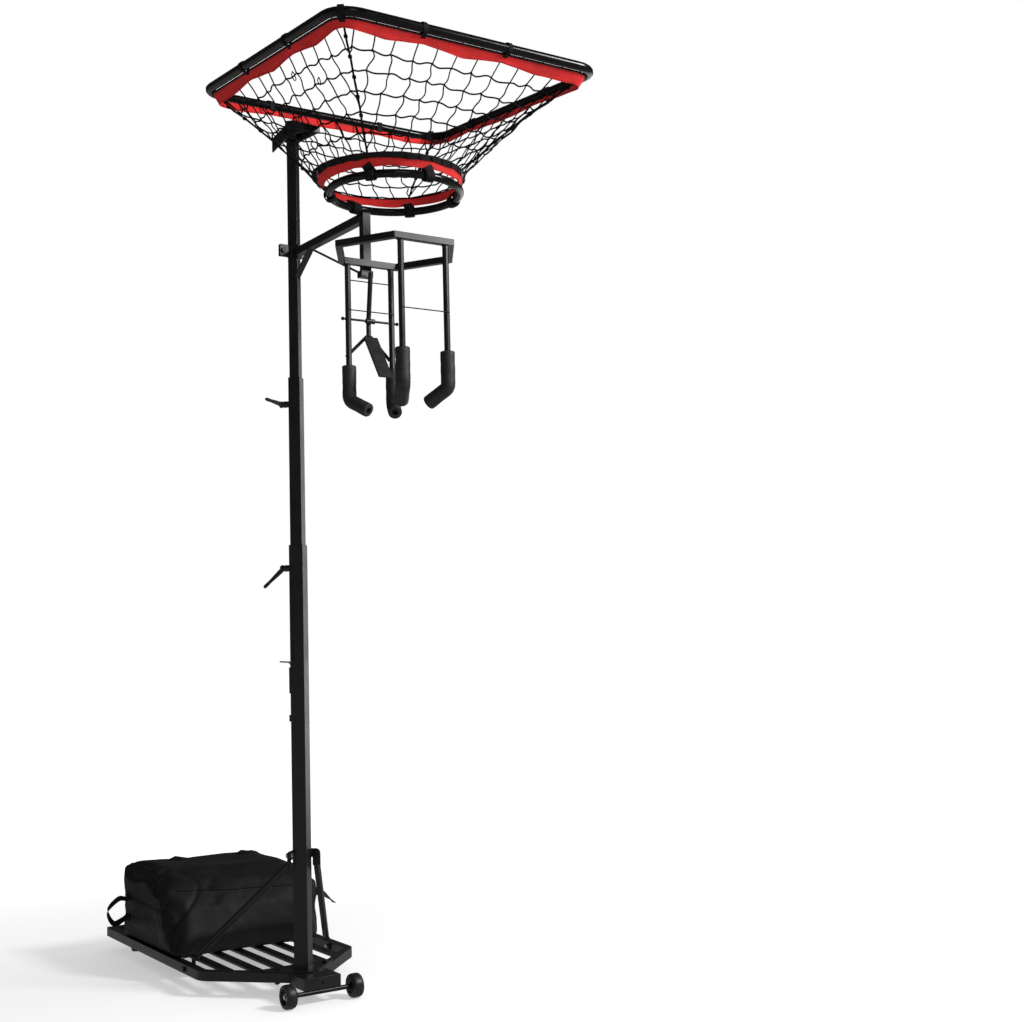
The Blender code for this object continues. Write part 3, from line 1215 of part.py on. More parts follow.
def net_panel(name, side):
    """One wall of the feeder net, gathered from the rim to the lower band, with its corner cord."""
    inward, fall = band_rise()
    start = RIM_TUBE + BAND_STANDOFF + TOP_BAND_DEPTH + BAND_THICKNESS / 2 + NET_STRAND / 2 + GAP
    top = rim_quarter(side, inward * start, fall * start, 60)
    mid_angle = {0: 90, 1: 180, 2: 270, 3: 360}[side]
    foot_z = LOWER_BAND_TOP + BAND_THICKNESS + NET_STRAND
    half_gap = NET_EDGE_GAP

    def top_at(share):
        position = share * 60
        index = min(int(position), 59)
        return top[index].lerp(top[index + 1], position - index)

    def foot_at(share):
        angle = math.radians(mid_angle - 45 + 90 * share)
        return Vector((LOWER_BAND_RADIUS * math.cos(angle), HOLDER_Y + LOWER_BAND_RADIUS * math.sin(angle), foot_z))

    top_length = (top[0] - top[-1]).length
    foot_length = LOWER_BAND_RADIUS * math.pi / 2
    bm = bmesh.new()
    grid = []
    for row in range(NET_ROWS + 1):
        down = row / NET_ROWS
        edge = half_gap / (top_length + (foot_length - top_length) * down)
        line = []
        for column in range(NET_COLUMNS + 1):
            share = edge + (1 - edge) * column / NET_COLUMNS
            line.append(bm.verts.new(top_at(share).lerp(foot_at(share), down)))
        grid.append(line)
    for upper, lower in zip(grid, grid[1:]):
        for index in range(NET_COLUMNS):
            bm.faces.new((upper[index], lower[index], lower[index + 1], upper[index + 1]))
    panel = place(name, mesh_from(bm, name), "black_cord")
    wires = panel.modifiers.new("Strands", "WIREFRAME")
    wires.thickness = NET_STRAND
    wires.use_even_offset = False
    wires.use_boundary = True
    wires.use_replace = True
    cord_top = top_at(1).lerp(foot_at(1), -0.0)
    join(panel, tube_mesh("corner_cord", (cord_top, cord_top.lerp(foot_at(1), 0.5), foot_at(1)),
                          CORNER_CORD_RADIUS, 1))
    return panel


def build_funnel():
    rim, (beam, lock) = build_rim()
    band = build_top_band()
    panels = [net_panel("net_" + label, side)
              for side, label in enumerate(("back", "left", "front", "right"))]
    hinge = empty_at("tilt_axis", (0, 0, TILT_Z))
    carry(hinge, rim, beam, lock, band, *panels)


def build_bag():
    """The load bag on the deck: a squat soft box with a sloping lid, and its two webbing ends."""
    bottom = SLAT_TOP + GAP
    bag = place("load_bag", box_mesh("load_bag", (BAG_LEFT, BAG_FRONT, bottom), (BAG_RIGHT, BAG_BACK, BAG_TOP)),
                "bag_fabric")
    bm = bmesh.new()
    bm.from_mesh(bag.data)
    bmesh.ops.bisect_plane(bm, geom=bm.verts[:] + bm.edges[:] + bm.faces[:], dist=0.00001,
                           plane_co=(0, BAG_FRONT + BAG_LID_START, 0), plane_no=(0, 1, 0))
    for vert in bm.verts:
        if vert.co.z > bottom + 0.01 and vert.co.y < BAG_FRONT + 0.01:
            vert.co.z = BAG_SHOULDER
    bm.to_mesh(bag.data)
    bm.free()
    bevel(bag, 0.018, 2)
    bag.data.shade_smooth()
    upright = Matrix(((1, 0, 0, 0), (0, 0, -1, 0), (0, 1, 0, 0), (0, 0, 0, 1)))
    for name, wall, side, y, z, reach in (("bag_handle_left", BAG_LEFT, -1, 0.640, 0.165, 0.070),
                                          ("bag_strap_right", BAG_RIGHT, 1, 0.430, 0.190, 0.060)):
        root = wall + side * (GAP + STRAP_THICKNESS / 2)
        path = fillet_path(((root, z + 0.028), (root + side * reach, z + 0.004), (root + side * reach * 0.75, z - 0.030),
                            (root, z - 0.020)), 0.010, 4)
        outline = ribbon(path, STRAP_THICKNESS)
        strap = place(name, flat_mesh(name, (outline,), STRAP_WIDTH, Matrix.Translation((0, y, 0)) @ upright),
                      "bag_fabric")
        wall_face = wall + side * GAP
        limits = sorted((wall_face, wall_face - side * 0.05))
        cut(strap, box_mesh("strap_trim", (limits[0], y - 0.05, z - 0.1), (limits[1], y + 0.05, z + 0.1)))


def ribbon(path, thickness):
    """The outline of a strip of even thickness along a path in the plane."""
    outer = []
    inner = []
    for index, point in enumerate(path):
        ahead = path[min(index + 1, len(path) - 1)]
        behind = path[max(index - 1, 0)]
        run = (ahead - behind).normalized()
        normal = Vector((-run.y, run.x)) * thickness / 2
        outer.append(point + normal)
        inner.append(point - normal)
    return outer + inner[::-1]


def centre_on_footprint():
    """Move the whole part along its length, so that the origin is under its middle."""
    for item in list(parts.objects) + list(cutters.objects):
        if item.parent is None:
            item.location.y += FOOTPRINT_SHIFT


def main():
    clear_scene()
    build_base()
    build_wheels()
    build_mast()
    build_catch()
    build_clamp_lever("clamp_lever_lower", MAST_HALF, MIDDLE_HALF, CLAMP_LOWER_Z,
                      LOWER_HANDLE_LEAN, LOWER_HANDLE_SWING)
    build_clamp_lever("clamp_lever_upper", MIDDLE_HALF, UPPER_HALF, CLAMP_UPPER_Z,
                      UPPER_HANDLE_LEAN, UPPER_HANDLE_SWING)
    build_brace("brace_left", -1)
    build_brace("brace_right", 1)
    build_head_frame()
    build_ring()
    build_hexagon()
    build_fingers()
    build_release()
    build_funnel()
    build_lower_band()
    build_bag()
    centre_on_footprint()


main()
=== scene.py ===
import math
import random

import bmesh
import bpy
from mathutils import Matrix, Vector, noise


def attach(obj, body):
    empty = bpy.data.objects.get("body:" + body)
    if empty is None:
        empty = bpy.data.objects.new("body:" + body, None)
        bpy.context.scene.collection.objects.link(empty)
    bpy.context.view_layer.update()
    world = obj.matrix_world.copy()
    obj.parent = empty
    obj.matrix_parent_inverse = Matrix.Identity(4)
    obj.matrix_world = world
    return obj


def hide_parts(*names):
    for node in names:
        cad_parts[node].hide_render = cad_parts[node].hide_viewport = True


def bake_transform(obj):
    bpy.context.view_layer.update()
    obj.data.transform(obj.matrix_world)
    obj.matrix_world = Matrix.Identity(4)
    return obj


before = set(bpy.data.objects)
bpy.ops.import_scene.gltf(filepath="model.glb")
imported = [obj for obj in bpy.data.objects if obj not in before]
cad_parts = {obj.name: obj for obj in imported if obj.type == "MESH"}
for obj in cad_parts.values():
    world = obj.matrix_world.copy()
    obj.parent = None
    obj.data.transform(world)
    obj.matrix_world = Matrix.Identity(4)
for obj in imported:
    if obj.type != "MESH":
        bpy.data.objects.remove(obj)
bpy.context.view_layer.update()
print("the frame is loaded")

# The camera at the photograph's place

camera = {
    "place": (-1.7647, -3.6639, 0.9823),
    "right": (0.82961, -0.55778, -0.02510),
    "up": (-0.02455, -0.08134, 0.99638),
    "back": (-0.55780, -0.82600, -0.08117),
    "lens": 50.857,
}
lensData = bpy.data.cameras.new("camera")
lensData.lens = camera["lens"]
lensData.sensor_width = 36
viewer = bpy.data.objects.new("camera", lensData)
bpy.context.scene.collection.objects.link(viewer)
turned = Matrix((camera["right"], camera["up"], camera["back"])).transposed()
viewer.matrix_world = Matrix.Translation(camera["place"]) @ turned.to_4x4()
bpy.context.scene.camera = viewer
print("the camera stands")

# The studio: a white floor that keeps its shadow, soft light from the right and the left

studio = {
    "floorColour": (0.78, 0.78, 0.78),
    "floorGlow": (0.42, 0.78),
    "glowReach": (1.0, 3.4),
    "floorShine": 0.32,
    "floorSize": 30,
    "floorZ": -0.0006,
    "ambient": 0.32,
    "ambientShine": 0.05,
    "keyPower": 190,
    "keyPlace": (2.6, -3.4, 3.6),
    "keyAim": (0, 0, 1.2),
    "keySize": 1.3,
    "fillPower": 19,
    "fillPlace": (-1.2, -4.6, 3.8),
    "fillAim": (0, 0, 1.4),
    "fillSize": 1.8,
    "sidePower": 36,
    "sidePlace": (3.7, 1.9, 1.2),
    "sideAim": (0, 0, 1.4),
    "sideSize": 3.4,
}


# one shader, and another for the rays that are named
def byRay(tree, path, rays, usual, special):
    mix = tree.nodes.new("ShaderNodeMixShader")
    tree.links.new(path.outputs[rays], mix.inputs[0])
    tree.links.new(usual.outputs[0], mix.inputs[1])
    tree.links.new(special.outputs[0], mix.inputs[2])
    return mix


def makeFloor():
    data = bpy.data.meshes.new("floor")
    bm = bmesh.new()
    bmesh.ops.create_grid(bm, x_segments=8, y_segments=8, size=studio["floorSize"])
    bm.to_mesh(data)
    bm.free()
    floor = bpy.data.objects.new("floor", data)
    bpy.context.scene.collection.objects.link(floor)
    floor.location.z = studio["floorZ"]
    material = bpy.data.materials.new("floorPaint")
    material.use_nodes = True
    nodes = material.node_tree.nodes
    links = material.node_tree.links
    nodes.clear()
    output = nodes.new("ShaderNodeOutputMaterial")
    paint = nodes.new("ShaderNodeBsdfDiffuse")
    paint.inputs["Color"].default_value = (*studio["floorColour"], 1)
    # the glow keeps the far floor white, and is weaker by the base so that the shadow shows
    glow = nodes.new("ShaderNodeEmission")
    where = nodes.new("ShaderNodeTexCoord")
    far = nodes.new("ShaderNodeVectorMath")
    far.operation = "LENGTH"
    reach = nodes.new("ShaderNodeMapRange")
    reach.interpolation_type = "SMOOTHSTEP"
    reach.inputs["From Min"].default_value = studio["glowReach"][0]
    reach.inputs["From Max"].default_value = studio["glowReach"][1]
    reach.inputs["To Min"].default_value = studio["floorGlow"][0]
    reach.inputs["To Max"].default_value = studio["floorGlow"][1]
    links.new(where.outputs["Object"], far.inputs[0])
    links.new(far.outputs["Value"], reach.inputs["Value"])
    links.new(reach.outputs["Result"], glow.inputs["Strength"])
    shine = nodes.new("ShaderNodeEmission")
    shine.inputs["Strength"].default_value = studio["floorShine"]
    path = nodes.new("ShaderNodeLightPath")
    both = nodes.new("ShaderNodeAddShader")
    links.new(paint.outputs[0], both.inputs[0])
    links.new(glow.outputs[0], both.inputs[1])
    mirrored = byRay(material.node_tree, path, "Is Glossy Ray", paint, shine)
    seen = byRay(material.node_tree, path, "Is Camera Ray", mirrored, both)
    links.new(seen.outputs[0], output.inputs[0])
    data.materials.append(material)


def makeLight(name, place, target, size, power):
    data = bpy.data.lights.new(name, "AREA")
    data.shape = "DISK"
    data.size = size
    data.energy = power
    light = bpy.data.objects.new(name, data)
    bpy.context.scene.collection.objects.link(light)
    light.location = place
    light.rotation_mode = "QUATERNION"
    light.rotation_quaternion = (Vector(target) - Vector(place)).to_track_quat("-Z", "Y")


def makeSky():
    world = bpy.data.worlds.new("sky")
    world.use_nodes = True
    bpy.context.scene.world = world
    tree = world.node_tree
    tree.nodes.clear()
    output = tree.nodes.new("ShaderNodeOutputWorld")
    path = tree.nodes.new("ShaderNodeLightPath")
    whites = []
    for strength in (studio["ambient"], studio["ambientShine"], 1.0):
        white = tree.nodes.new("ShaderNodeBackground")
        white.inputs["Color"].default_value = (1, 1, 1, 1)
        white.inputs["Strength"].default_value = strength
        whites.append(white)
    lit, mirrored, seen = whites
    mix = byRay(tree, path, "Is Camera Ray", byRay(tree, path, "Is Glossy Ray", lit, mirrored), seen)
    tree.links.new(mix.outputs[0], output.inputs[0])


makeFloor()
makeSky()
for name in ("key", "fill", "side"):
    makeLight(name + "Light", studio[name + "Place"], studio[name + "Aim"], studio[name + "Size"],
              studio[name + "Power"])
bpy.context.scene.view_settings.view_transform = "Standard"
print("the studio is lit")

# Materials

finishes = {
    "blackPaint": {"colour": (0.0065, 0.0065, 0.0070), "light": (0.0115, 0.0115, 0.0120), "patch": 9,
                   "rough": (0.30, 0.46), "grain": 900, "bump": 0.10, "depth": 0.0004, "coat": 0.08,
                   "shine": 0.42},
    "ringPaint": {"colour": (0.0020, 0.0020, 0.0022), "light": (0.0042, 0.0042, 0.0045), "patch": 14,
                  "rough": (0.15, 0.23), "grain": 700, "bump": 0.05, "depth": 0.0002, "coat": 0.01,
                  "shine": 0.24},
    "blackZinc": {"colour": (0.016, 0.016, 0.017), "light": (0.045, 0.045, 0.047), "patch": 60,
                  "rough": (0.28, 0.45), "grain": 1400, "bump": 0.12, "depth": 0.0003, "metal": 0.85},
    "zinc": {"colour": (0.52, 0.52, 0.53), "light": (0.74, 0.74, 0.75), "patch": 80,
             "rough": (0.20, 0.38), "grain": 1600, "bump": 0.10, "depth": 0.0002, "metal": 1.0},
    "catchSteel": {"colour": (0.42, 0.42, 0.41), "light": (0.66, 0.66, 0.64), "patch": 70,
                   "rough": (0.25, 0.42), "grain": 1500, "bump": 0.10, "depth": 0.0002, "metal": 1.0},
    "plastic": {"colour": (0.008, 0.008, 0.0085), "light": (0.015, 0.015, 0.016), "patch": 30,
                "rough": (0.40, 0.55), "grain": 1800, "bump": 0.25, "depth": 0.0004},
    "tyre": {"colour": (0.007, 0.007, 0.007), "light": (0.016, 0.016, 0.015), "patch": 40,
             "rough": (0.34, 0.52), "grain": 1200, "bump": 0.20, "depth": 0.0004},
    "foam": {"colour": (0.011, 0.011, 0.0115), "light": (0.021, 0.021, 0.022), "patch": 50,
             "rough": (0.50, 0.70), "grain": 1500, "bump": 0.45, "depth": 0.0007},
}
fabrics = {
    "redWeb": {"colour": (0.60, 0.005, 0.006), "light": (0.80, 0.014, 0.012), "patch": 22,
               "rough": (0.62, 0.82), "threads": 1900, "bump": 0.35, "depth": 0.0006},
    "blackWeb": {"colour": (0.0045, 0.0045, 0.0048), "light": (0.011, 0.011, 0.0115), "patch": 40,
                 "rough": (0.62, 0.82), "threads": 2400, "bump": 0.55, "depth": 0.0008, "shine": 0.18},
    "netCord": {"colour": (0.0030, 0.0030, 0.0030), "light": (0.0080, 0.0080, 0.0085), "patch": 60,
                "rough": (0.70, 0.88), "threads": 3200, "bump": 0.6, "depth": 0.0006, "shine": 0.12},
    "bagCloth": {"colour": (0.0030, 0.0030, 0.0036), "light": (0.0066, 0.0066, 0.0078), "patch": 11,
                 "rough": (0.58, 0.74), "threads": 2600, "bump": 0.25, "depth": 0.0004, "shine": 0.38},
}


mottle = {"detail": 6, "rough": 0.62, "darkTo": 0.34, "paleFrom": 0.72, "coatRough": 0.22}


# colour that varies in patches, and roughness that varies with it
def startMaterial(name, look):
    material = bpy.data.materials.new(name)
    material.use_nodes = True
    nodes = material.node_tree.nodes
    links = material.node_tree.links
    shader = nodes["Principled BSDF"]
    where = nodes.new("ShaderNodeTexCoord")
    patches = nodes.new("ShaderNodeTexNoise")
    patches.inputs["Scale"].default_value = look["patch"]
    patches.inputs["Detail"].default_value = mottle["detail"]
    patches.inputs["Roughness"].default_value = mottle["rough"]
    links.new(where.outputs["Object"], patches.inputs["Vector"])
    ramp = nodes.new("ShaderNodeValToRGB")
    dark, pale = ramp.color_ramp.elements
    dark.position = mottle["darkTo"]
    dark.color = (*look["colour"], 1)
    pale.position = mottle["paleFrom"]
    pale.color = (*look["light"], 1)
    links.new(patches.outputs["Fac"], ramp.inputs["Fac"])
    links.new(ramp.outputs["Color"], shader.inputs["Base Color"])
    rough = nodes.new("ShaderNodeMapRange")
    rough.inputs["From Min"].default_value = 0.3
    rough.inputs["From Max"].default_value = 0.7
    rough.inputs["To Min"].default_value = look["rough"][0]
    rough.inputs["To Max"].default_value = look["rough"][1]
    links.new(patches.outputs["Fac"], rough.inputs["Value"])
    links.new(rough.outputs["Result"], shader.inputs["Roughness"])
    shader.inputs["Metallic"].default_value = look.get("metal", 0.0)
    shader.inputs["Specular IOR Level"].default_value = look.get("shine", 0.5)
    shader.inputs["Coat Weight"].default_value = look.get("coat", 0.0)
    shader.inputs["Coat Roughness"].default_value = mottle["coatRough"]
    return material, nodes, links, shader, where


def addBump(nodes, links, shader, height, look):
    bump = nodes.new("ShaderNodeBump")
    bump.inputs["Strength"].default_value = look["bump"]
    bump.inputs["Distance"].default_value = look["depth"]
    links.new(height, bump.inputs["Height"])
    links.new(bump.outputs["Normal"], shader.inputs["Normal"])


def makeFinish(name, look):
    material, nodes, links, shader, where = startMaterial(name, look)
    grain = nodes.new("ShaderNodeTexNoise")
    grain.inputs["Scale"].default_value = look["grain"]
    grain.inputs["Detail"].default_value = 3
    links.new(where.outputs["Object"], grain.inputs["Vector"])
    addBump(nodes, links, shader, grain.outputs["Fac"], look)
    return material


# threads that cross, read from the place on the piece
def makeFabric(name, look):
    material, nodes, links, shader, where = startMaterial(name, look)
    heights = []
    for direction in ("X", "Y", "Z"):
        wave = nodes.new("ShaderNodeTexWave")
        wave.bands_direction = direction
        wave.inputs["Scale"].default_value = look["threads"] / 20
        wave.inputs["Distortion"].default_value = 0.4
        links.new(where.outputs["Object"], wave.inputs["Vector"])
        heights.append(wave.outputs["Fac"])
    first = nodes.new("ShaderNodeMath")
    first.operation = "MAXIMUM"
    links.new(heights[0], first.inputs[0])
    links.new(heights[1], first.inputs[1])
    second = nodes.new("ShaderNodeMath")
    second.operation = "MULTIPLY"
    links.new(first.outputs[0], second.inputs[0])
    links.new(heights[2], second.inputs[1])
    addBump(nodes, links, shader, second.outputs[0], look)
    return material


paints = {name: makeFinish(name, look) for name, look in finishes.items()}
paints.update({name: makeFabric(name, look) for name, look in fabrics.items()})
print("the materials are mixed")

# CAD pieces that keep their shape: smooth shading, small edge rounds and a material

nodeLooks = {
    "blackPaint": (("base_frame", 0.0016), ("foot_plate", 0.0006), ("front_crossbeam", 0.0016),
                   ("brace_left", 0.0), ("brace_right", 0.0), ("mast_lower", 0.0009), ("mast_middle", 0.0009),
                   ("mast_upper", 0.0009), ("head_clamp_front", 0.0006), ("head_clamp_rear", 0.0006),
                   ("head_arm", 0.0012), ("arm_brace", 0.0006), ("stay_rod", 0.0), ("head_post", 0.0012),
                   ("hex_frame", 0.0012), ("finger_pair_back", 0.0), ("finger_pair_front", 0.0),
                   ("release_lever", 0.0), ("tilt_beam", 0.0008)),
    "blackZinc": (("foot_bolt_left", 0.0004), ("foot_bolt_right", 0.0004), ("axle", 0.0),
                  ("clamp_bolt_left", 0.0004), ("clamp_bolt_right", 0.0004), ("pivot_rod", 0.0),
                  ("tilt_pivot_bolt", 0.0004), ("tilt_lock_bolt", 0.0004), ("brace_rail_bolt_left", 0.0004),
                  ("brace_top_bolt_right", 0.0004)),
    "zinc": (("wheel_bolt_left", 0.0004), ("wheel_bolt_right", 0.0004), ("brace_top_bolt_left", 0.0004),
             ("brace_rail_bolt_right", 0.0004), ("catch_pin", 0.0)),
    "plastic": (("middle_glide", 0.0006), ("upper_glide", 0.0006), ("clamp_lever_lower", 0.0),
                ("clamp_lever_upper", 0.0), ("catch_grip", 0.0006), ("release_paddle", 0.0)),
    "tyre": (("rear_foot_left", 0.0), ("rear_foot_right", 0.0)),
    "catchSteel": (("catch_leaf", 0.0005),),
}


edging = {"smoothTo": 34, "roundFrom": 50, "segments": 2, "weld": 0.00002}


# a node group that welds the faces and shades them smooth up to an angle
def makeSoftEdges(angle):
    tree = bpy.data.node_groups.new("softEdges", "GeometryNodeTree")
    tree.interface.new_socket("Geometry", in_out="INPUT", socket_type="NodeSocketGeometry")
    tree.interface.new_socket("Geometry", in_out="OUTPUT", socket_type="NodeSocketGeometry")
    nodes = tree.nodes
    links = tree.links
    start = nodes.new("NodeGroupInput")
    end = nodes.new("NodeGroupOutput")
    drop = nodes.new("GeometryNodeRemoveAttribute")
    drop.inputs["Name"].default_value = "custom_normal"
    weld = nodes.new("GeometryNodeMergeByDistance")
    weld.inputs["Distance"].default_value = edging["weld"]
    faces = nodes.new("GeometryNodeSetShadeSmooth")
    faces.domain = "FACE"
    edges = nodes.new("GeometryNodeSetShadeSmooth")
    edges.domain = "EDGE"
    edges.inputs["Shade Smooth"].default_value = False
    bend = nodes.new("GeometryNodeInputMeshEdgeAngle")
    sharp = nodes.new("FunctionNodeCompare")
    sharp.data_type = "FLOAT"
    sharp.operation = "GREATER_THAN"
    sharp.inputs[1].default_value = angle
    links.new(start.outputs[0], drop.inputs["Geometry"])
    links.new(drop.outputs[0], weld.inputs["Geometry"])
    links.new(weld.outputs[0], faces.inputs["Geometry"])
    links.new(faces.outputs[0], edges.inputs["Geometry"])
    links.new(bend.outputs["Unsigned Angle"], sharp.inputs[0])
    links.new(sharp.outputs[0], edges.inputs["Selection"])
    links.new(edges.outputs[0], end.inputs[0])
    return tree


softEdges = makeSoftEdges(math.radians(edging["smoothTo"]))
for look, rows in nodeLooks.items():
    for nodeName, edge in rows:
        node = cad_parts[nodeName]
        node.data.materials.clear()
        node.data.materials.append(paints[look])
        group = node.modifiers.new("softEdges", "NODES")
        group.node_group = softEdges
        if edge:
            rounds = node.modifiers.new("rounds", "BEVEL")
            rounds.width = edge
            rounds.segments = edging["segments"]
            rounds.limit_method = "ANGLE"
            rounds.angle_limit = math.radians(edging["roundFrom"])
            rounds.harden_normals = False
print("the CAD pieces are painted")

# Making tools


def addPiece(name, bm, look):
    data = bpy.data.meshes.new(name)
    bmesh.ops.recalc_face_normals(bm, faces=bm.faces)
    bm.to_mesh(data)
    bm.free()
    data.shade_smooth()
    data.set_sharp_from_angle(angle=math.radians(40))
    data.materials.append(paints[look])
    piece = bpy.data.objects.new(name, data)
    bpy.context.scene.collection.objects.link(piece)
    return piece


# a direction and two sideways axes at every point, without twist
def pathFrames(points, closed):
    count = len(points)
    frames = []
    side = None
    for index in range(count):
        if closed:
            run = points[(index + 1) % count] - points[index - 1]
        else:
            run = points[min(index + 1, count - 1)] - points[max(index - 1, 0)]
        run = run.normalized()
        if side is None:
            side = run.cross(Vector((0, 0, 1)))
            if side.length < 0.1:
                side = run.cross(Vector((0, 1, 0)))
        side = (side - run * side.dot(run)).normalized()
        frames.append((run, side, run.cross(side)))
    return frames


# faces from ring to ring, and a cap on each end where the row of rings is open
def skin(bm, rings, closed=False):
    count = len(rings[0])
    pairs = list(zip(rings, rings[1:]))
    if closed:
        pairs.append((rings[-1], rings[0]))
    for first, second in pairs:
        for step in range(count):
            after = (step + 1) % count
            bm.faces.new((first[step], first[after], second[after], second[step]))
    if not closed:
        bm.faces.new(rings[0])
        bm.faces.new(rings[-1])


# a tube along the points; radii is one number or one for each point
def sweep(bm, points, radii, sides, closed=False):
    points = [Vector(point) for point in points]
    if not isinstance(radii, (list, tuple)):
        radii = [radii] * len(points)
    frames = pathFrames(points, closed)
    rings = []
    for point, radius, (run, side, other) in zip(points, radii, frames):
        ring = []
        for step in range(sides):
            angle = 2 * math.pi * step / sides
            ring.append(bm.verts.new(point + side * radius * math.cos(angle)
                                     + other * radius * math.sin(angle)))
        rings.append(ring)
    skin(bm, rings, closed)


# a turned shape round local Z from a closed profile of radius and height
def turn(bm, profile, steps, matrix):
    rings = []
    for step in range(steps):
        angle = 2 * math.pi * step / steps
        rings.append([bm.verts.new(matrix @ Vector((r * math.cos(angle), r * math.sin(angle), z)))
                      for r, z in profile])
    skin(bm, rings, closed=True)


# the outline of webbing across its width, in halves of its width and thickness
webOutline = ((-1, -0.6), (-0.96, -1), (0.96, -1), (1, -0.6),
              (1, 0.6), (0.96, 1), (-0.96, 1), (-1, 0.6))


# flat webbing along the points; across gives the direction of its width at each
def strip(bm, points, across, width, thick):
    points = [Vector(point) for point in points]
    rows = []
    for index, point in enumerate(points):
        run = (points[min(index + 1, len(points) - 1)] - points[max(index - 1, 0)]).normalized()
        wide = Vector(across[index] if isinstance(across, list) else across)
        wide = (wide - run * wide.dot(run)).normalized()
        up = run.cross(wide)
        rows.append([bm.verts.new(point + wide * width * a / 2 + up * thick * b / 2)
                     for a, b in webOutline])
    skin(bm, rows)


def roundedBox(bm, low, high, edge, matrix):
    low = Vector(low)
    high = Vector(high)
    made = bmesh.ops.create_cube(bm, size=1.0)["verts"]
    bmesh.ops.scale(bm, vec=high - low, verts=made)
    bmesh.ops.translate(bm, vec=(low + high) / 2, verts=made)
    edges = list(dict.fromkeys(e for v in made for e in v.link_edges))
    result = bmesh.ops.bevel(bm, geom=edges, offset=edge, segments=2, affect="EDGES", profile=0.5)
    corners = {v for f in result["faces"] for v in f.verts} | {v for v in made if v.is_valid}
    bmesh.ops.transform(bm, matrix=matrix, verts=list(corners))


# a level circle of points
def circle(x, y, z, radius, steps):
    angles = [2 * math.pi * k / steps for k in range(steps)]
    return [Vector((x + radius * math.cos(a), y + radius * math.sin(a), z)) for a in angles]


# a small push in three directions, the same in every run
def lumps(point, scale, size):
    place = Vector(point) * scale
    return Vector([noise.noise(place + Vector((0, 0, shift))) for shift in (0, 17.3, 41.7)]) * size


# a smooth curve through the points
def smoothLine(points, per):
    points = [Vector(point) for point in points]
    line = []
    for index in range(len(points) - 1):
        a = points[max(index - 1, 0)]
        b = points[index]
        c = points[index + 1]
        d = points[min(index + 2, len(points) - 1)]
        for step in range(per):
            t = step / per
            line.append(0.5 * (2 * b + (c - a) * t + (2 * a - 5 * b + 4 * c - d) * t * t
                               + (3 * b - a - 3 * c + d) * t * t * t))
    line.append(points[-1])
    return line


# Wheels: a tread with grooves, a rounded shoulder and a recessed hub

wheel = {"radius": 0.032, "width": 0.029, "offset": 0.098, "axleY": -0.088, "axleZ": 0.032, "bore": 0.0069,
         "recess": 0.008, "recessRadius": 0.020, "steps": 64}


def makeWheel(name, side):
    bm = bmesh.new()
    half = wheel["width"] / 2
    radius = wheel["radius"]
    inner = wheel["recessRadius"]
    floorZ = half - wheel["recess"]
    # the hub and its recess, the shoulder, the tread with its groove, the other shoulder and the back
    profile = [(wheel["bore"], floorZ + 0.002), (0.0098, floorZ + 0.002), (0.0105, floorZ + 0.0012),
               (0.0108, floorZ), (inner - 0.003, floorZ), (inner - 0.001, floorZ + 0.001),
               (inner, half - 0.0012), (inner + 0.0008, half - 0.0002), (inner + 0.0022, half),
               (radius - 0.0062, half), (radius - 0.0026, half - 0.0012), (radius - 0.0008, half - 0.0042),
               (radius, half - 0.0078), (radius, half - 0.0130), (radius - 0.0004, half - 0.0133),
               (radius - 0.0004, half - 0.0139), (radius, half - 0.0142), (radius, -half + 0.0078),
               (radius - 0.0008, -half + 0.0042), (radius - 0.0026, -half + 0.0012),
               (radius - 0.0062, -half), (inner, -half), (inner - 0.003, -half + 0.004),
               (0.0135, -half + 0.004), (0.0125, -half), (wheel["bore"], -half)]
    place = Matrix.Translation((side * wheel["offset"], wheel["axleY"], wheel["axleZ"]))
    turn(bm, profile, wheel["steps"], place @ Matrix.Rotation(side * math.pi / 2, 4, "Y"))
    piece = addPiece("rolling_" + name, bm, "tyre")
    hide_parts("wheel_" + name)
    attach(piece, "wheel_" + name)


makeWheel("left", -1)
makeWheel("right", 1)
print("the wheels are made")

# Ring and rim

ring = {"centre": (0, -0.560, 2.080), "radius": 0.164, "tube": 0.010, "steps": 96}
rim = {"halfX": 0.3565, "halfY": 0.3833, "corner": 0.061, "tube": 0.011, "steps": 48, "tilt": 4.5,
       "centre": (0, -0.5684, 2.3655), "pivot": (0, 0.024, 2.412), "beamFront": -0.124,
       "barWidth": 0.040, "barHeight": 0.018}
rimMatrix = Matrix.Translation(rim["centre"]) @ Matrix.Rotation(math.radians(rim["tilt"]), 4, "X")


# a point in the rim's own plane; u runs from 0 to 4, one side after another
def rimPlan(u, inset):
    side = int(u) % 4
    share = u - int(u)
    halfX = rim["halfX"] - inset
    halfY = rim["halfY"] - inset
    radius = max(rim["corner"] - inset, 0.006)
    half, across = (halfX, halfY) if side in (0, 2) else (halfY, halfX)
    straight = 2 * (half - radius)
    arc = radius * math.pi / 4
    travelled = (straight + 2 * arc) * share
    if travelled < arc:
        angle = math.pi / 4 - travelled / radius
        x = half - radius + radius * math.sin(angle)
        y = across - radius + radius * math.cos(angle)
    elif travelled > arc + straight:
        angle = (travelled - arc - straight) / radius
        x = -(half - radius) - radius * math.sin(angle)
        y = across - radius + radius * math.cos(angle)
    else:
        x = half - radius - (travelled - arc)
        y = across
    return Matrix.Rotation(math.pi / 2 * side, 2) @ Vector((x, y))


def rimPoint(u, inset=0.0, drop=0.0):
    flat = rimPlan(u, inset)
    return rimMatrix @ Vector((flat.x, flat.y, -drop))


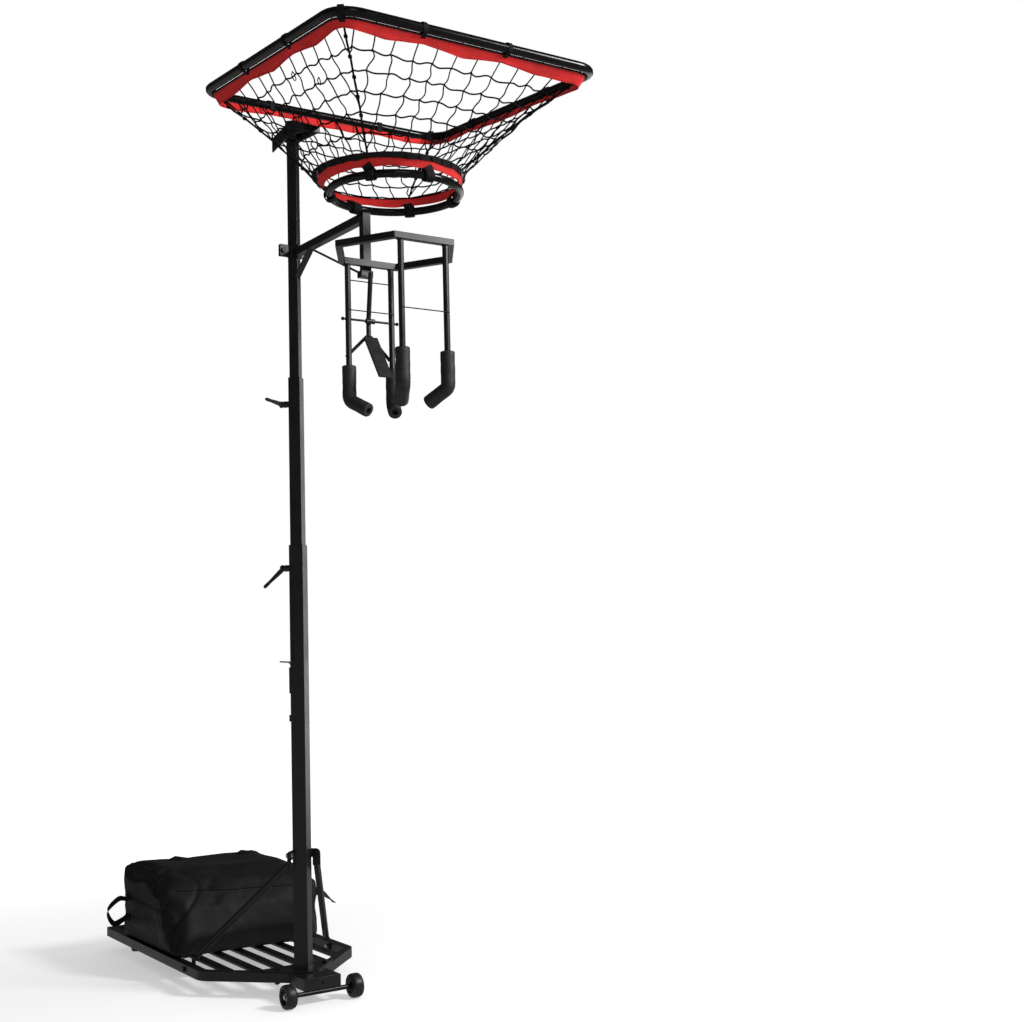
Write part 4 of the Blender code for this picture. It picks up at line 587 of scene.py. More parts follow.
def makeRing():
    bm = bmesh.new()
    sweep(bm, circle(*ring["centre"], ring["radius"], ring["steps"]), ring["tube"], 20, closed=True)
    piece = addPiece("ring_tube", bm, "ringPaint")
    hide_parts("ring")
    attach(piece, "head")


# a lumpy bead of weld along the points
def weldBead(bm, points, radius, seed, closed=False):
    dice = random.Random(seed)
    line = points if closed else smoothLine(points, 6)
    radii = [radius * (0.82 + 0.36 * dice.random()) for _ in line]
    sweep(bm, line, radii, 8, closed=closed)


def makeRim():
    bm = bmesh.new()
    steps = rim["steps"] * 4
    sweep(bm, [rimPoint(4 * k / steps) for k in range(steps)], rim["tube"], 20, closed=True)
    back = rimMatrix @ Vector((0, rim["halfY"], 0))
    line = math.tan(math.radians(rim["tilt"]))
    startY = rim["beamFront"] - 0.0003 - rim["barHeight"] / 2 * line
    start = Vector((0, startY + rim["pivot"][1], rim["pivot"][2] + startY * line))
    run = back - start
    middle = (back + start) / 2
    matrix = Matrix.Translation(middle) @ Matrix.Rotation(math.atan2(run.z, run.y) + math.pi, 4, "X")
    half = rim["barWidth"] / 2
    roundedBox(bm, (-half, -run.length / 2, -rim["barHeight"] / 2),
               (half, run.length / 2, rim["barHeight"] / 2), 0.0015, matrix)
    for side in (-1, 1):
        weldBead(bm, [back + Vector((side * (half + 0.001), y, z))
                      for y, z in ((0.004, 0.010), (0.010, 0.002), (0.008, -0.008))], 0.0016, side + 4)
    piece = addPiece("rim_tube", bm, "ringPaint")
    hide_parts("rim")
    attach(piece, "funnel")


makeRing()
makeRim()
print("the ring and the rim are made")

# The feeder net's wall: from the rim's tube down to the lower band

wall = {"footRadius": 0.187, "footZ": 2.1245, "slopeFoot": 2.120, "belly": 0.004,
        "footX": -0.0115, "footY": -0.5525}
wallRun = rim["halfX"] - wall["footRadius"]
wallDrop = rim["centre"][2] - wall["slopeFoot"]
inward = wallRun / math.hypot(wallRun, wallDrop)
fall = wallDrop / math.hypot(wallRun, wallDrop)


# a point on the net's wall, a depth below the rim's centre line
def bandPoint(u, depth):
    return rimPoint(u, inward * depth, fall * depth)


def footPoint(u):
    angle = math.radians(45 + 90 * u)
    return Vector((wall["footX"] + wall["footRadius"] * math.cos(angle),
                   wall["footY"] + wall["footRadius"] * math.sin(angle), wall["footZ"]))


# the outward direction of the net's wall
def wallOut(u):
    a = bandPoint(u + 0.02, 0.03) - bandPoint(u - 0.02, 0.03)
    b = footPoint(u) - bandPoint(u, 0.03)
    return b.cross(a).normalized()


# the way down the net's wall
def wallDown(u):
    return (footPoint(u) - bandPoint(u, 0.03)).normalized()


topBand = {"hemTop": 0.0120, "hemHeight": 0.0045, "depth": 0.0275, "swell": 0.010, "columns": 288,
           "rows": 6, "thick": 0.0011, "ripple": 0.0018, "waver": 0.0022,
           "loops": (0.26, 0.74, 1.34, 1.67, 2.00, 2.30, 2.63, 3.28, 3.75, 0.02)}


# how far along it is to the nearest rim loop, from 0 at a loop to 1 half way between
def toLoop(u):
    gap = min(abs((u - loop + 2) % 4 - 2) for loop in topBand["loops"])
    return min(gap / 0.16, 1.0)


# how deep the band's lower edge hangs: it swells between the loops and wavers
def bandLow(u):
    low = topBand["hemTop"] + topBand["depth"] + topBand["swell"] * (toLoop(u) - 0.4)
    return low + topBand["waver"] * noise.noise(Vector((u * 9, 3.1, 0.0)))


# how far the cloth ripples out, more towards its lower edge
def bandRipple(u, row):
    share = row / topBand["rows"]
    return noise.noise(Vector((u * 14, row * 0.5, 7.0))) * topBand["ripple"] * (0.3 + share)


# the faces of a closed strip of cloth: its two sides and its two long edges
def skinBand(bm, grids):
    columns = len(grids[0][0])
    pairs = [(k, (k + 1) % columns) for k in range(columns)]
    for grid in grids:
        for upper, lower in zip(grid, grid[1:]):
            for k, after in pairs:
                bm.faces.new((upper[k], lower[k], lower[after], upper[after]))
    for row in (0, -1):
        outer = grids[0][row]
        inner = grids[1][row]
        for k, after in pairs:
            bm.faces.new((outer[k], outer[after], inner[after], inner[k]))


def makeTopBand():
    bm = bmesh.new()
    hem = bmesh.new()
    columns = topBand["columns"]
    rows = topBand["rows"]
    grids = []
    for face in (1, -1):
        grid = []
        for row in range(rows + 1):
            line = []
            for column in range(columns):
                u = 4 * column / columns
                depth = topBand["hemTop"] + (bandLow(u) - topBand["hemTop"]) * row / rows
                push = bandRipple(u, row) + face * topBand["thick"] / 2
                line.append(bm.verts.new(bandPoint(u, depth) + wallOut(u) * push))
            grid.append(line)
        grids.append(grid)
    skinBand(bm, grids)
    band = addPiece("top_band_cloth", bm, "redWeb")
    middle = topBand["hemTop"] + topBand["hemHeight"] / 2
    sweep(hem, [bandPoint(4 * k / columns, middle) for k in range(columns)], 0.0026, 8, closed=True)
    lower = []
    for column in range(columns):
        u = 4 * column / columns
        lower.append(bandPoint(u, bandLow(u) - 0.001) + wallOut(u) * bandRipple(u, rows))
    edge = bmesh.new()
    sweep(edge, lower, 0.0011, 6, closed=True)
    hemPiece = addPiece("top_band_hem", hem, "blackWeb")
    edgePiece = addPiece("top_band_edge", edge, "redWeb")
    stitches = bmesh.new()
    for column in range(0, columns * 2, 2):
        u = 4 * column / columns / 2
        out = wallOut(u)
        low = topBand["depth"] + topBand["swell"] * (toLoop(u) - 0.4)
        for share in (0.20, 0.90):
            depth = topBand["hemTop"] + low * share
            wave = bandRipple(u, share * rows)
            for face in (1, -1):
                push = out * (wave + face * (topBand["thick"] / 2 + 0.0001))
                ends = [bandPoint(u, depth) + push, bandPoint(u + 0.0075, depth) + push]
                sweep(stitches, ends, 0.00045, 5)
    stitchPiece = addPiece("top_band_stitches", stitches, "blackWeb")
    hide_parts("top_band")
    for piece, slot in ((band, "red_fabric"), (hemPiece, "black_cord"), (edgePiece, "red_fabric"),
                        (stitchPiece, "black_cord")):
        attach(piece, "funnel")


# black webbing loops that hang the band from the tube, each a slightly twisted wrap
def makeRimLoops():
    bm = bmesh.new()
    dice = random.Random(11)
    for loop in topBand["loops"]:
        centre = rimPoint(loop)
        run = (rimPoint(loop + 0.01) - rimPoint(loop - 0.01)).normalized()
        down = (bandPoint(loop, 0.05) - centre).normalized()
        out = wallOut(loop)
        width = 0.011 + 0.005 * dice.random()
        slant = (dice.random() - 0.5) * 0.25
        reach = rim["tube"] + 0.0016
        tail = topBand["hemTop"] + 0.010
        points = [centre + down * tail - out * 0.0016]
        steps = 22
        for step in range(steps + 1):
            angle = math.radians(-150 + 300 * step / steps)
            points.append(centre - down * reach * math.cos(angle) + out * reach * math.sin(angle)
                          + run * slant * 0.01 * math.sin(angle))
        points.append(centre + down * tail + out * 0.0016)
        strip(bm, points, run, width, 0.0014)
        knot = centre + down * (tail - 0.003)
        sweep(bm, [knot - out * 0.003, knot + out * 0.003], 0.0018, 6)
    piece = addPiece("rim_loops", bm, "blackWeb")
    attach(piece, "funnel")


makeTopBand()
makeRimLoops()
print("the top band is sewn")

lowerBand = {"top": 2.1210, "tape": 0.0115, "foot": 2.0960, "footRadius": 0.1710, "thick": 0.0011,
             "columns": 160, "tapeThick": 0.0030, "ties": 36, "tabs": (47, 99, 144, 220, 270, 355),
             "tabWidth": 0.0245, "pulls": (312, 172)}
upward = Vector((0, 0, 1))


# a point on the lower band, from its top edge at 0 to its foot at 1
def lowerPoint(angle, share, push=0.0):
    radius = wall["footRadius"] + (lowerBand["footRadius"] - wall["footRadius"]) * share + push
    z = lowerBand["top"] + (lowerBand["foot"] - lowerBand["top"]) * share
    x = wall["footX"] * (1 - 0.6 * share)
    y = wall["footY"] + (ring["centre"][1] - wall["footY"]) * 0.6 * share
    return Vector((x + radius * math.cos(angle), y + radius * math.sin(angle), z))


# a closed strip with two sides; pointAt gives a point for angle, share and push
def closedBand(bm, pointAt, columns, rows, thick):
    angles = [2 * math.pi * k / columns for k in range(columns)]
    skinBand(bm, [[[bm.verts.new(pointAt(angle, row / rows, push)) for angle in angles]
                   for row in range(rows + 1)] for push in (thick / 2, -thick / 2)])


# noise that closes on itself round the ring
def roundNoise(angle, scale, height):
    return noise.noise(Vector((math.cos(angle) * scale, math.sin(angle) * scale, height)))


# an angle round the ring, the way out from its centre and the way along it
def ringWays(degrees):
    angle = math.radians(degrees)
    out = Vector((math.cos(angle), math.sin(angle), 0))
    return angle, out, Vector((-out.y, out.x, 0))


def makeLowerBand():
    share = lowerBand["tape"] / (lowerBand["top"] - lowerBand["foot"])

    def waviness(angle, at):
        return 0.0016 * roundNoise(angle, 4, at * 1.5)

    def cloth(angle, at, push):
        lift = 0.0034 * roundNoise(angle, 4, 4.0) * at
        return lowerPoint(angle, at, push + waviness(angle, at)) + Vector((0, 0, lift))

    def edgeTape(angle, at, push):
        lump = 0.0012 * roundNoise(angle, 14, 9.0)
        outside = 0.0004 + lowerBand["thick"] + lowerBand["tapeThick"] / 2
        reach = share * at - 0.10 + 0.10 * roundNoise(angle, 6, 2.0) * at
        return lowerPoint(angle, reach, push + outside + lump + waviness(angle, reach))

    red = bmesh.new()
    closedBand(red, cloth, lowerBand["columns"], 6, lowerBand["thick"])
    band = addPiece("lower_band_cloth", red, "redWeb")
    black = bmesh.new()
    closedBand(black, edgeTape, lowerBand["columns"], 3, lowerBand["tapeThick"])
    roll = []
    for k in range(lowerBand["columns"]):
        angle = 2 * math.pi * k / lowerBand["columns"]
        roll.append(lowerPoint(angle, -0.06, 0.0012 + waviness(angle, 0)))
    sweep(black, roll, 0.0021, 8, closed=True)
    for k in range(lowerBand["ties"]):
        angle = 2 * math.pi * (k + 0.3) / lowerBand["ties"]
        tie = [lowerPoint(angle, 0.05, 0.0056), lowerPoint(angle + 0.02, 0.25, 0.0060),
               lowerPoint(angle + 0.01, share, 0.0052)]
        sweep(black, smoothLine(tie, 3), 0.0012, 5)
    tape = addPiece("lower_band_tape", black, "blackWeb")
    tabs = bmesh.new()
    dice = random.Random(5)
    for degrees in lowerBand["tabs"]:
        angle, out, tangent = ringWays(degrees)
        centre = Vector(ring["centre"]) + out * ring["radius"]
        reach = ring["tube"] + 0.0034
        points = [lowerPoint(angle, 0.66) - out * 0.0022]
        for step in range(25):
            turnBy = math.radians(-142 + 284 * step / 24)
            points.append(centre - upward * reach * math.cos(turnBy) + out * reach * math.sin(turnBy)
                          + lumps(centre + out * turnBy, 60, 0.0007))
        points.append(lowerPoint(angle, 0.80) + out * 0.0030)
        wide = lowerBand["tabWidth"] * (0.92 + 0.12 * dice.random())
        strip(tabs, points, tangent, wide, 0.0019)
        reach += 0.0012
        bulge = [centre + out * reach * math.cos(a) - upward * reach * math.sin(a)
                 for a in (-0.9, -0.3, 0.3, 0.9, 1.5, 2.1)]
        strip(tabs, bulge, tangent, wide * 0.72, 0.0016)
    tabPiece = addPiece("ring_tabs", tabs, "blackWeb")
    pulls = bmesh.new()
    for degrees in lowerBand["pulls"]:
        angle, out, tangent = ringWays(degrees)
        top = lowerPoint(angle, 0.15, 0.004)
        centre = top + Vector((0, 0, -0.009)) + out * 0.001
        eye = [centre + tangent * 0.0046 * math.cos(a * math.pi / 8)
               + Vector((0, 0, 0.0082)) * math.sin(a * math.pi / 8) for a in range(16)]
        sweep(pulls, eye, 0.0009, 6, closed=True)
        axes = Matrix((tangent, out, upward)).transposed().to_4x4()
        roundedBox(pulls, (-0.004, -0.0016, -0.004), (0.004, 0.0016, 0.004), 0.0008,
                   Matrix.Translation(top) @ axes)
    pullPiece = addPiece("zip_pulls", pulls, "zinc")
    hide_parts("lower_band")
    for piece, slot in ((band, "red_fabric"), (tape, "black_cord"), (tabPiece, "black_cord"),
                        (pullPiece, "zinc")):
        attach(piece, "head")


makeLowerBand()
print("the lower band is sewn")

# The net: wavy cords with a knot at every crossing, and a gathered cord at each corner

net = {"columns": 12, "rows": 6, "cordUp": 0.0017, "cordAcross": 0.0020, "knot": 0.0032,
       "wave": 0.0072, "firstRow": 0.45, "bandShare": 0.16, "topHalf": 0.352, "footHalf": 0.136,
       "gather": 0.32, "behindBand": 0.0042, "cornerCord": 0.0026, "cornerPinch": 0.006, "seed": 23,
       "cornerSeed": 7, "blendFoot": (0, -0.560, 2.125), "blendTop": (0, -0.560, 2.30)}


# a point on the net, from the rim's tube at 0 to the lower band at 1
def netPoint(u, t):
    corner = abs(u - round(u))
    pinch = wall["belly"] + net["cornerPinch"] * max(0.0, 1 - corner / 0.12)
    point = bandPoint(u, 0.012).lerp(footPoint(u), t)
    return point - wallOut(u) * (math.sin(math.pi * t) * pinch)


# where a row of knots lies down the wall; the first mesh under the band is short
def rowDepth(row):
    if row == 0:
        return 0.0
    step = (1 - net["bandShare"]) / (net["rows"] + net["firstRow"] - 1)
    return min(net["bandShare"] + step * (net["firstRow"] + row - 1), 1.0)


# half the width of one side of the net at a depth
def panelHalf(t):
    return net["topHalf"] + (net["footHalf"] - net["topHalf"]) * t


def addCord(bm, a, b, bow, curl, steps, radius):
    line = [a.lerp(b, s / steps) + bow * math.sin(math.pi * s / steps)
            + curl * math.sin(2 * math.pi * s / steps) for s in range(steps + 1)]
    sweep(bm, line, radius, 6)


def addKnot(bm, point, u, dice):
    made = bmesh.ops.create_icosphere(bm, subdivisions=1, radius=net["knot"])["verts"]
    out = wallOut(u)
    tall = wallDown(u)
    wide = out.cross(tall) * (0.9 + 0.4 * dice.random())
    axes = Matrix((wide, tall * (0.8 + 0.3 * dice.random()), out * 0.62)).transposed().to_4x4()
    bmesh.ops.transform(bm, matrix=Matrix.Translation(point) @ axes, verts=made)


# one side: upright cords from the band to the foot, or to the corner cord where that comes first
def makeNetSide(bm, side, dice):
    columns = net["columns"]
    stops = [rowDepth(row) for row in range(net["rows"] + 1)]
    rows = [[] for _ in stops]
    for column in range(columns):
        place = ((column + 0.5) / columns * 2 - 1) * net["topHalf"]
        narrowing = net["topHalf"] - net["footHalf"] - net["gather"] * abs(place)
        end = min((net["topHalf"] - abs(place)) / narrowing, 1.0)
        chain = []
        for row, depth in enumerate(stops):
            if (depth > end - 0.02 and depth < 1) or (depth >= 1 and end < 1):
                break
            inner = 0 < row < net["rows"]
            t = depth + (dice.random() - 0.5) * 0.024 * inner
            shift = (dice.random() - 0.5) * 0.011 * inner
            near = place * (1 - net["gather"] * t) + shift
            u = side + 0.5 + 0.5 * max(min(near / panelHalf(t), 0.97), -0.97)
            point = netPoint(u, t) + wallOut(u) * ((dice.random() - 0.5) * 0.004 * inner - 0.0014)
            if row == 0:
                point = bandPoint(u, topBand["hemTop"]) - wallOut(u) * net["behindBand"]
            chain.append((u, t, point))
            rows[row].append((u, point))
            if inner:
                addKnot(bm, point, u, dice)
        if end < 1:
            u = side + (0.0001 if place < 0 else 0.9999)
            chain.append((u, end, netPoint(u, end) + wallOut(u) * 0.002))
        for (u, depth, a), (_, _, b) in zip(chain, chain[1:]):
            out = wallOut(u)
            across = out.cross((b - a).normalized())
            size = min((b - a).length / 0.045, 1.1)
            calm = 0.3 if depth == 0 else 1.0  # nearly straight behind the band
            bow = across * (0.3 + 0.7 * dice.random()) * net["wave"] * size * calm
            bow += out * ((dice.random() - 0.5) * 0.002 * calm - 0.0008 * (depth == 0))
            curl = across * (dice.random() - 0.5) * net["wave"] * size * calm
            addCord(bm, a, b, bow, curl, 7, net["cordUp"])
    for row in range(1, net["rows"] + 1):
        start, finish = [(u, netPoint(u, stops[row]) + wallOut(u) * 0.002)
                         for u in (side + 0.0001, side + 0.9999)]
        chain = [start] + sorted(rows[row], key=lambda item: item[0]) + [finish]
        calm = 0.12 if row == net["rows"] else 1.0
        for (u, a), (v, b) in zip(chain, chain[1:]):
            middle = (u + v) / 2
            down = wallDown(middle)
            size = min((b - a).length / 0.06, 1.1) * calm
            bow = down * net["wave"] * (0.35 + 0.8 * dice.random()) * size
            curl = down * net["wave"] * (dice.random() - 0.5) * size * 1.3
            curl += wallOut(middle) * (dice.random() - 0.5) * 0.003
            addCord(bm, a, b, bow, curl, 7, net["cordAcross"])


def makeNet():
    dice = random.Random(net["seed"])
    bm = bmesh.new()
    for side in range(4):
        makeNetSide(bm, side, dice)
    piece = addPiece("feeder_net", bm, "netCord")
    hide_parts("net_back", "net_front", "net_left", "net_right")
    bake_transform(piece)


# short slack ends of cord that curl out of the net: place round the wall, depth and size
slackEnds = ((1.62, 0.20, 0.018), (1.78, 0.34, 0.014), (3.02, 0.86, 0.016))


def makeCornerCords():
    dice = random.Random(net["cornerSeed"])
    bm = bmesh.new()
    for corner in range(4):
        u = corner + 0.0001
        out = wallOut(u)
        line = [netPoint(u, t / 16) + lumps((corner, t / 3, 1.0), 1.0, 0.0022)
                + out * (0.002 - 0.0075 * max(0.0, 1 - t / 3)) for t in range(17)]
        sweep(bm, line, [net["cornerCord"] * (0.85 + 0.3 * dice.random()) for _ in line], 7)
        for t in (2.2, 4.6, 7.0, 9.3, 11.5, 13.6):
            middle = netPoint(u, t / 16) + out * 0.002
            run = (netPoint(u, (t + 0.4) / 16) - netPoint(u, (t - 0.4) / 16)).normalized()
            side = run.cross(out)
            turns = 3
            reach = net["cornerCord"] + 0.0012
            coil = []
            for step in range(turns * 8 + 1):
                angle = 2 * math.pi * step / 8
                coil.append(middle + run * (step / 8 - turns / 2) * 0.0026
                            + (side * math.cos(angle) + out * math.sin(angle)) * reach)
            sweep(bm, coil, 0.0012, 5)
    for u, t, size in slackEnds:
        start = netPoint(u, t)
        out = wallOut(u)
        tall = wallDown(u)
        side = out.cross(tall)
        points = [start + side * size * across + tall * size * down + out * push
                  for across, down, push in ((0.5, 0.3, 0.004), (0.55, 1, 0.005), (-0.1, 1.1, 0.004),
                                             (-0.25, 0.4, 0.003))]
        sweep(bm, smoothLine([start] + points + [start], 6), 0.0013, 6)
    piece = addPiece("corner_cords", bm, "netCord")
    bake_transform(piece)


makeNet()
makeCornerCords()
print("the net is knotted")

# Foam sleeves on the fingers

sleeve = {"x": 0.063, "backY": -0.41955, "frontY": -0.69403, "bendZ": 1.571, "bendRadius": 0.020,
          "reach": 0.060, "dip": 28, "radius": 0.018, "topZ": 1.660, "bore": 0.0080,
          "centreY": -0.5568, "sides": 28, "pitting": 0.0007}


def sleeveLine(side, y):
    corner = Vector((side * sleeve["x"], y, sleeve["bendZ"]))
    inwards = (Vector((0, sleeve["centreY"], sleeve["bendZ"])) - corner).normalized()
    dip = math.radians(sleeve["dip"])
    slant = inwards * math.cos(dip) - upward * math.sin(dip)
    tip = corner + slant * sleeve["reach"] / math.cos(dip)
    top = Vector((corner.x, corner.y, sleeve["topZ"]))
    half = upward.angle(slant) / 2
    reach = sleeve["bendRadius"] / math.tan(half)
    start = corner + upward * reach
    end = corner + slant * reach
    centre = corner + (upward + slant).normalized() * sleeve["bendRadius"] / math.sin(half)
    line = [top.lerp(start, k / 8) for k in range(8)]
    for k in range(9):
        chord = start.lerp(end, k / 8)
        line.append(centre + (chord - centre).normalized() * sleeve["bendRadius"])
    line += [end.lerp(tip, k / 5) for k in range(1, 6)]
    return line


def makeSleeve(name, side, y):
    bm = bmesh.new()
    line = sleeveLine(side, y)
    frames = pathFrames(line, False)
    first = (line[0] - line[1]).normalized()
    last = (line[-1] - line[-2]).normalized()
    radius = sleeve["radius"]
    bore = sleeve["bore"]
    # each end: how far in from it, and the radius there
    rounded = ((0, bore), (0, bore + 0.002), (0, radius - 0.0028), (0.0008, radius - 0.0010),
               (0.0026, radius - 0.0001))
    rings = []

    def addRing(point, size, axes, lumpy):
        run, across, other = axes
        loop = []
        for step in range(sleeve["sides"]):
            angle = 2 * math.pi * step / sleeve["sides"]
            way = across * math.cos(angle) + other * math.sin(angle)
            push = lumpy * noise.noise((point + way * size) * 45) * sleeve["pitting"]
            loop.append(bm.verts.new(point + way * (size + push)))
        rings.append(loop)

    for depth, size in ((0.010, bore), *rounded):
        addRing(line[0] - first * depth, size, frames[0], 0)
    for index in range(1, len(line) - 1):
        addRing(line[index], radius * (1 - 0.02 * (index % 3 == 0)), frames[index], 1)
    for depth, size in (*reversed(rounded), (0.012, bore)):
        addRing(line[-1] - last * depth, size, frames[-1], 0)
    skin(bm, rings)
    piece = addPiece("sleeve_" + name, bm, "foam")
    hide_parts("grip_" + name)
    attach(piece, "head")


for row, y in (("back", sleeve["backY"]), ("front", sleeve["frontY"])):
    for label, side in (("left", -1), ("right", 1)):
        makeSleeve(row + "_" + label, side, y)
print("the sleeves are on")

# The load bag: filled cloth box with a sloping lid, piped seams, tabs, a handle and a strap end

bag = {"left": -0.206, "right": 0.206, "front": 0.342, "back": 0.809, "bottom": 0.0663,
       "shoulder": 0.245, "top": 0.290, "lidStart": 0.150, "cell": 0.012, "fineCell": 0.0066,
       "pressure": 3.0, "cap": 0.010, "frames": 16, "mass": 0.3, "stretch": 18, "shear": 6, "bend": 0.6,
       "railTop": 0.0716, "railInner": 0.2050, "widest": 0.244, "sagHeight": 0.045, "sagOut": 0.006,
       "lidDip": 0.006, "frontDent": 0.010, "endFolds": 0.0050, "softFolds": 0.0040, "crease": 0.0055,
       "floorCorners": ((-0.236, 0.352), (0.214, 0.342), (-0.240, 0.812), (0.216, 0.812)),
       "topCorners": ((-0.246, 0.470, 0.300), (0.218, 0.345, 0.292), (-0.244, 0.812, 0.291),
                      (0.222, 0.812, 0.287))}


# from 0 at each end to 1 half way
def arch(share):
    return math.sin(math.pi * min(max(share, 0), 1))


# a point of the plain box goes to its place in the slumped bag, between the bag's eight corners
def bagSurface(point):
    x = (point.x - bag["left"]) / (bag["right"] - bag["left"])
    y = (point.y - bag["front"]) / (bag["back"] - bag["front"])
    z = (point.z - bag["bottom"]) / (bag["top"] - bag["bottom"])
    weights = ((1 - x) * (1 - y), x * (1 - y), (1 - x) * y, x * y)
    low = Vector((0, 0, 0))
    high = Vector((0, 0, 0))
    for weight, floorCorner, topCorner in zip(weights, bag["floorCorners"], bag["topCorners"]):
        low += weight * Vector((*floorCorner, bag["bottom"]))
        high += weight * Vector(topCorner)
    moved = low.lerp(high, z)
    moved.z -= bag["lidDip"] * arch(x) * arch(y) * z
    moved.y -= bag["frontDent"] * max(0.0, 1 - y / 0.3) * arch(z) * arch(x)
    return moved


# folds: long diagonal ones on the ends, soft dents on the front and the lid
def bagWrinkles(p, normal):
    ends = abs(normal.x)
    value = ends * bag["endFolds"] * noise.noise(Vector((p.y * 9 + p.z * 14, p.z * 22 - p.y * 6, 2.0)))
    value += (1 - ends) * bag["softFolds"] * noise.noise(Vector((p.x * 9, p.y * 7 + p.z * 9, 5.0)))
    # a few sharp creases that run down from the left front corner
    crease = noise.noise(Vector((p.x * 9 - p.z * 7, p.y * 5 + p.z * 3, 8.0)))
    near = max(0.0, 1 - (Vector((p.x + 0.20, p.y - 0.40, 0)).length) / 0.22)
    value -= near * bag["crease"] * max(0.0, 1 - abs(crease) * 7)
    value += 0.0008 * noise.noise(Vector((p.x * 34 + p.z * 20, p.y * 30, p.z * 34 - p.x * 8)))
    return value


def makeBagBody():
    bm = bmesh.new()
    low = Vector((bag["left"] + 0.006, bag["front"] + 0.006, bag["bottom"] + 0.002))
    high = Vector((bag["right"] - 0.006, bag["back"] - 0.006, bag["top"] - 0.004))
    bmesh.ops.create_cube(bm, size=1.0)
    bmesh.ops.scale(bm, vec=high - low, verts=bm.verts)
    bmesh.ops.translate(bm, vec=(low + high) / 2, verts=bm.verts)
    bmesh.ops.bisect_plane(bm, geom=bm.verts[:] + bm.edges[:] + bm.faces[:], dist=0.00001,
                           plane_co=(0, bag["front"] + bag["lidStart"], 0), plane_no=(0, 1, 0))
    for vert in bm.verts:
        if vert.co.z > low.z + 0.05 and vert.co.y < bag["front"] + 0.02:
            vert.co.z = bag["shoulder"] - 0.004
    bmesh.ops.bevel(bm, geom=bm.edges[:], offset=0.011, segments=3, affect="EDGES", profile=0.5)
    data = bpy.data.meshes.new("bag_body")
    bm.to_mesh(data)
    bm.free()
    piece = bpy.data.objects.new("bag_body", data)
    bpy.context.scene.collection.objects.link(piece)
    remesh = piece.modifiers.new("remesh", "REMESH")
    remesh.mode = "VOXEL"
    remesh.voxel_size = bag["fineCell"]
    cells = freeze(piece)
    for vert in cells.vertices:
        vert.co = bagSurface(vert.co)
    return piece


# the mesh that the modifiers give becomes the piece's own
def freeze(piece):
    graph = bpy.context.evaluated_depsgraph_get()
    piece.data = bpy.data.meshes.new_from_object(piece.evaluated_get(graph))
    piece.modifiers.clear()
    return piece.data


# air pressure rounds the cloth out, and each point stays within the cap
def swell(piece):
    cells = piece.data
    before = [vert.co.copy() for vert in cells.vertices]
    cloth = piece.modifiers.new("cloth", "CLOTH")
    cloth.settings.quality = 6
    cloth.settings.mass = bag["mass"]
    cloth.settings.tension_stiffness = bag["stretch"]
    cloth.settings.compression_stiffness = bag["stretch"]
    cloth.settings.shear_stiffness = bag["shear"]
    cloth.settings.bending_stiffness = bag["bend"]
    cloth.settings.use_pressure = True
    cloth.settings.uniform_pressure_force = bag["pressure"]
    cloth.settings.effector_weights.gravity = 0
    cloth.collision_settings.use_collision = False
    cloth.point_cache.frame_start = 1
    cloth.point_cache.frame_end = bag["frames"]
    scene = bpy.context.scene
    for number in range(1, bag["frames"] + 1):
        scene.frame_set(number)
    graph = bpy.context.evaluated_depsgraph_get()
    after = [vert.co.copy() for vert in piece.evaluated_get(graph).data.vertices]
    piece.modifiers.remove(cloth)
    scene.frame_set(1)
    for vert, old, new in zip(cells.vertices, before, after):
        step = new - old
        if step.length > bag["cap"]:
            step = step.normalized() * bag["cap"]
        vert.co = old + step


# the foot of the cloth settles onto the rails, so that no light shows under its edge
def sag(co):
    rise = (co.z - bag["railTop"]) / bag["sagHeight"]
    if 0 < rise < 1:
        co.z = bag["railTop"] + bag["sagHeight"] * rise * (0.25 + 0.75 * rise)
    if rise < 1 and abs(co.x) > 0.17:
        co.x += math.copysign(bag["sagOut"] * (1 - max(rise, 0.0)), co.x)


# the cloth stays off the slats, the rails and the braces
def keepInside(co):
    co.x = min(max(co.x, -bag["widest"]), bag["widest"])
    co.y = max(co.y, bag["front"] - 0.010)
    low = bag["railTop"] if abs(co.x) > bag["railInner"] else bag["bottom"] + 0.0002
    co.z = max(co.z, low)


def makeBag():
    piece = makeBagBody()
    swell(piece)
    divide = piece.modifiers.new("divide", "SUBSURF")
    divide.levels = 1
    divide.render_levels = 1
    fine = freeze(piece)
    normals = [vert.normal.copy() for vert in fine.vertices]
    for vert, normal in zip(fine.vertices, normals):
        if vert.co.z > bag["bottom"] + 0.006:
            vert.co += normal * bagWrinkles(vert.co, normal)
        sag(vert.co)
        keepInside(vert.co)
    fine.update()
    fine.shade_smooth()
    fine.materials.clear()
    fine.materials.append(paints["bagCloth"])
    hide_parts("load_bag")
    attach(piece, "bag")
    return piece


bagBody = makeBag()
bpy.context.view_layer.update()


# the place on the bag that a ray from outside meets, lifted off the cloth
def onBag(point, direction, lift=0.0006):
    direction = Vector(direction).normalized()
    start = Vector(point) - direction * 0.6
    hit, place, normal, _ = bagBody.ray_cast(start, direction)
    if not hit:
        return Vector(point)
    return place + normal * lift


# points pressed onto the bag along straight runs
def seamLine(points, direction, count):
    line = []
    for first, second in zip(points, points[1:]):
        line += [onBag(Vector(first).lerp(Vector(second), step / count), direction)
                 for step in range(count)]
    line.append(onBag(points[-1], direction))
    return line


# short stitches along a line on the cloth
def addStitches(bm, line, spacing, size):
    travelled = 0.0
    for first, second in zip(line, line[1:]):
        run = second - first
        while travelled < run.length:
            a = first + run.normalized() * travelled
            sweep(bm, [a, a + run.normalized() * spacing * 0.55], size, 5)
            travelled += spacing
        travelled -= run.length


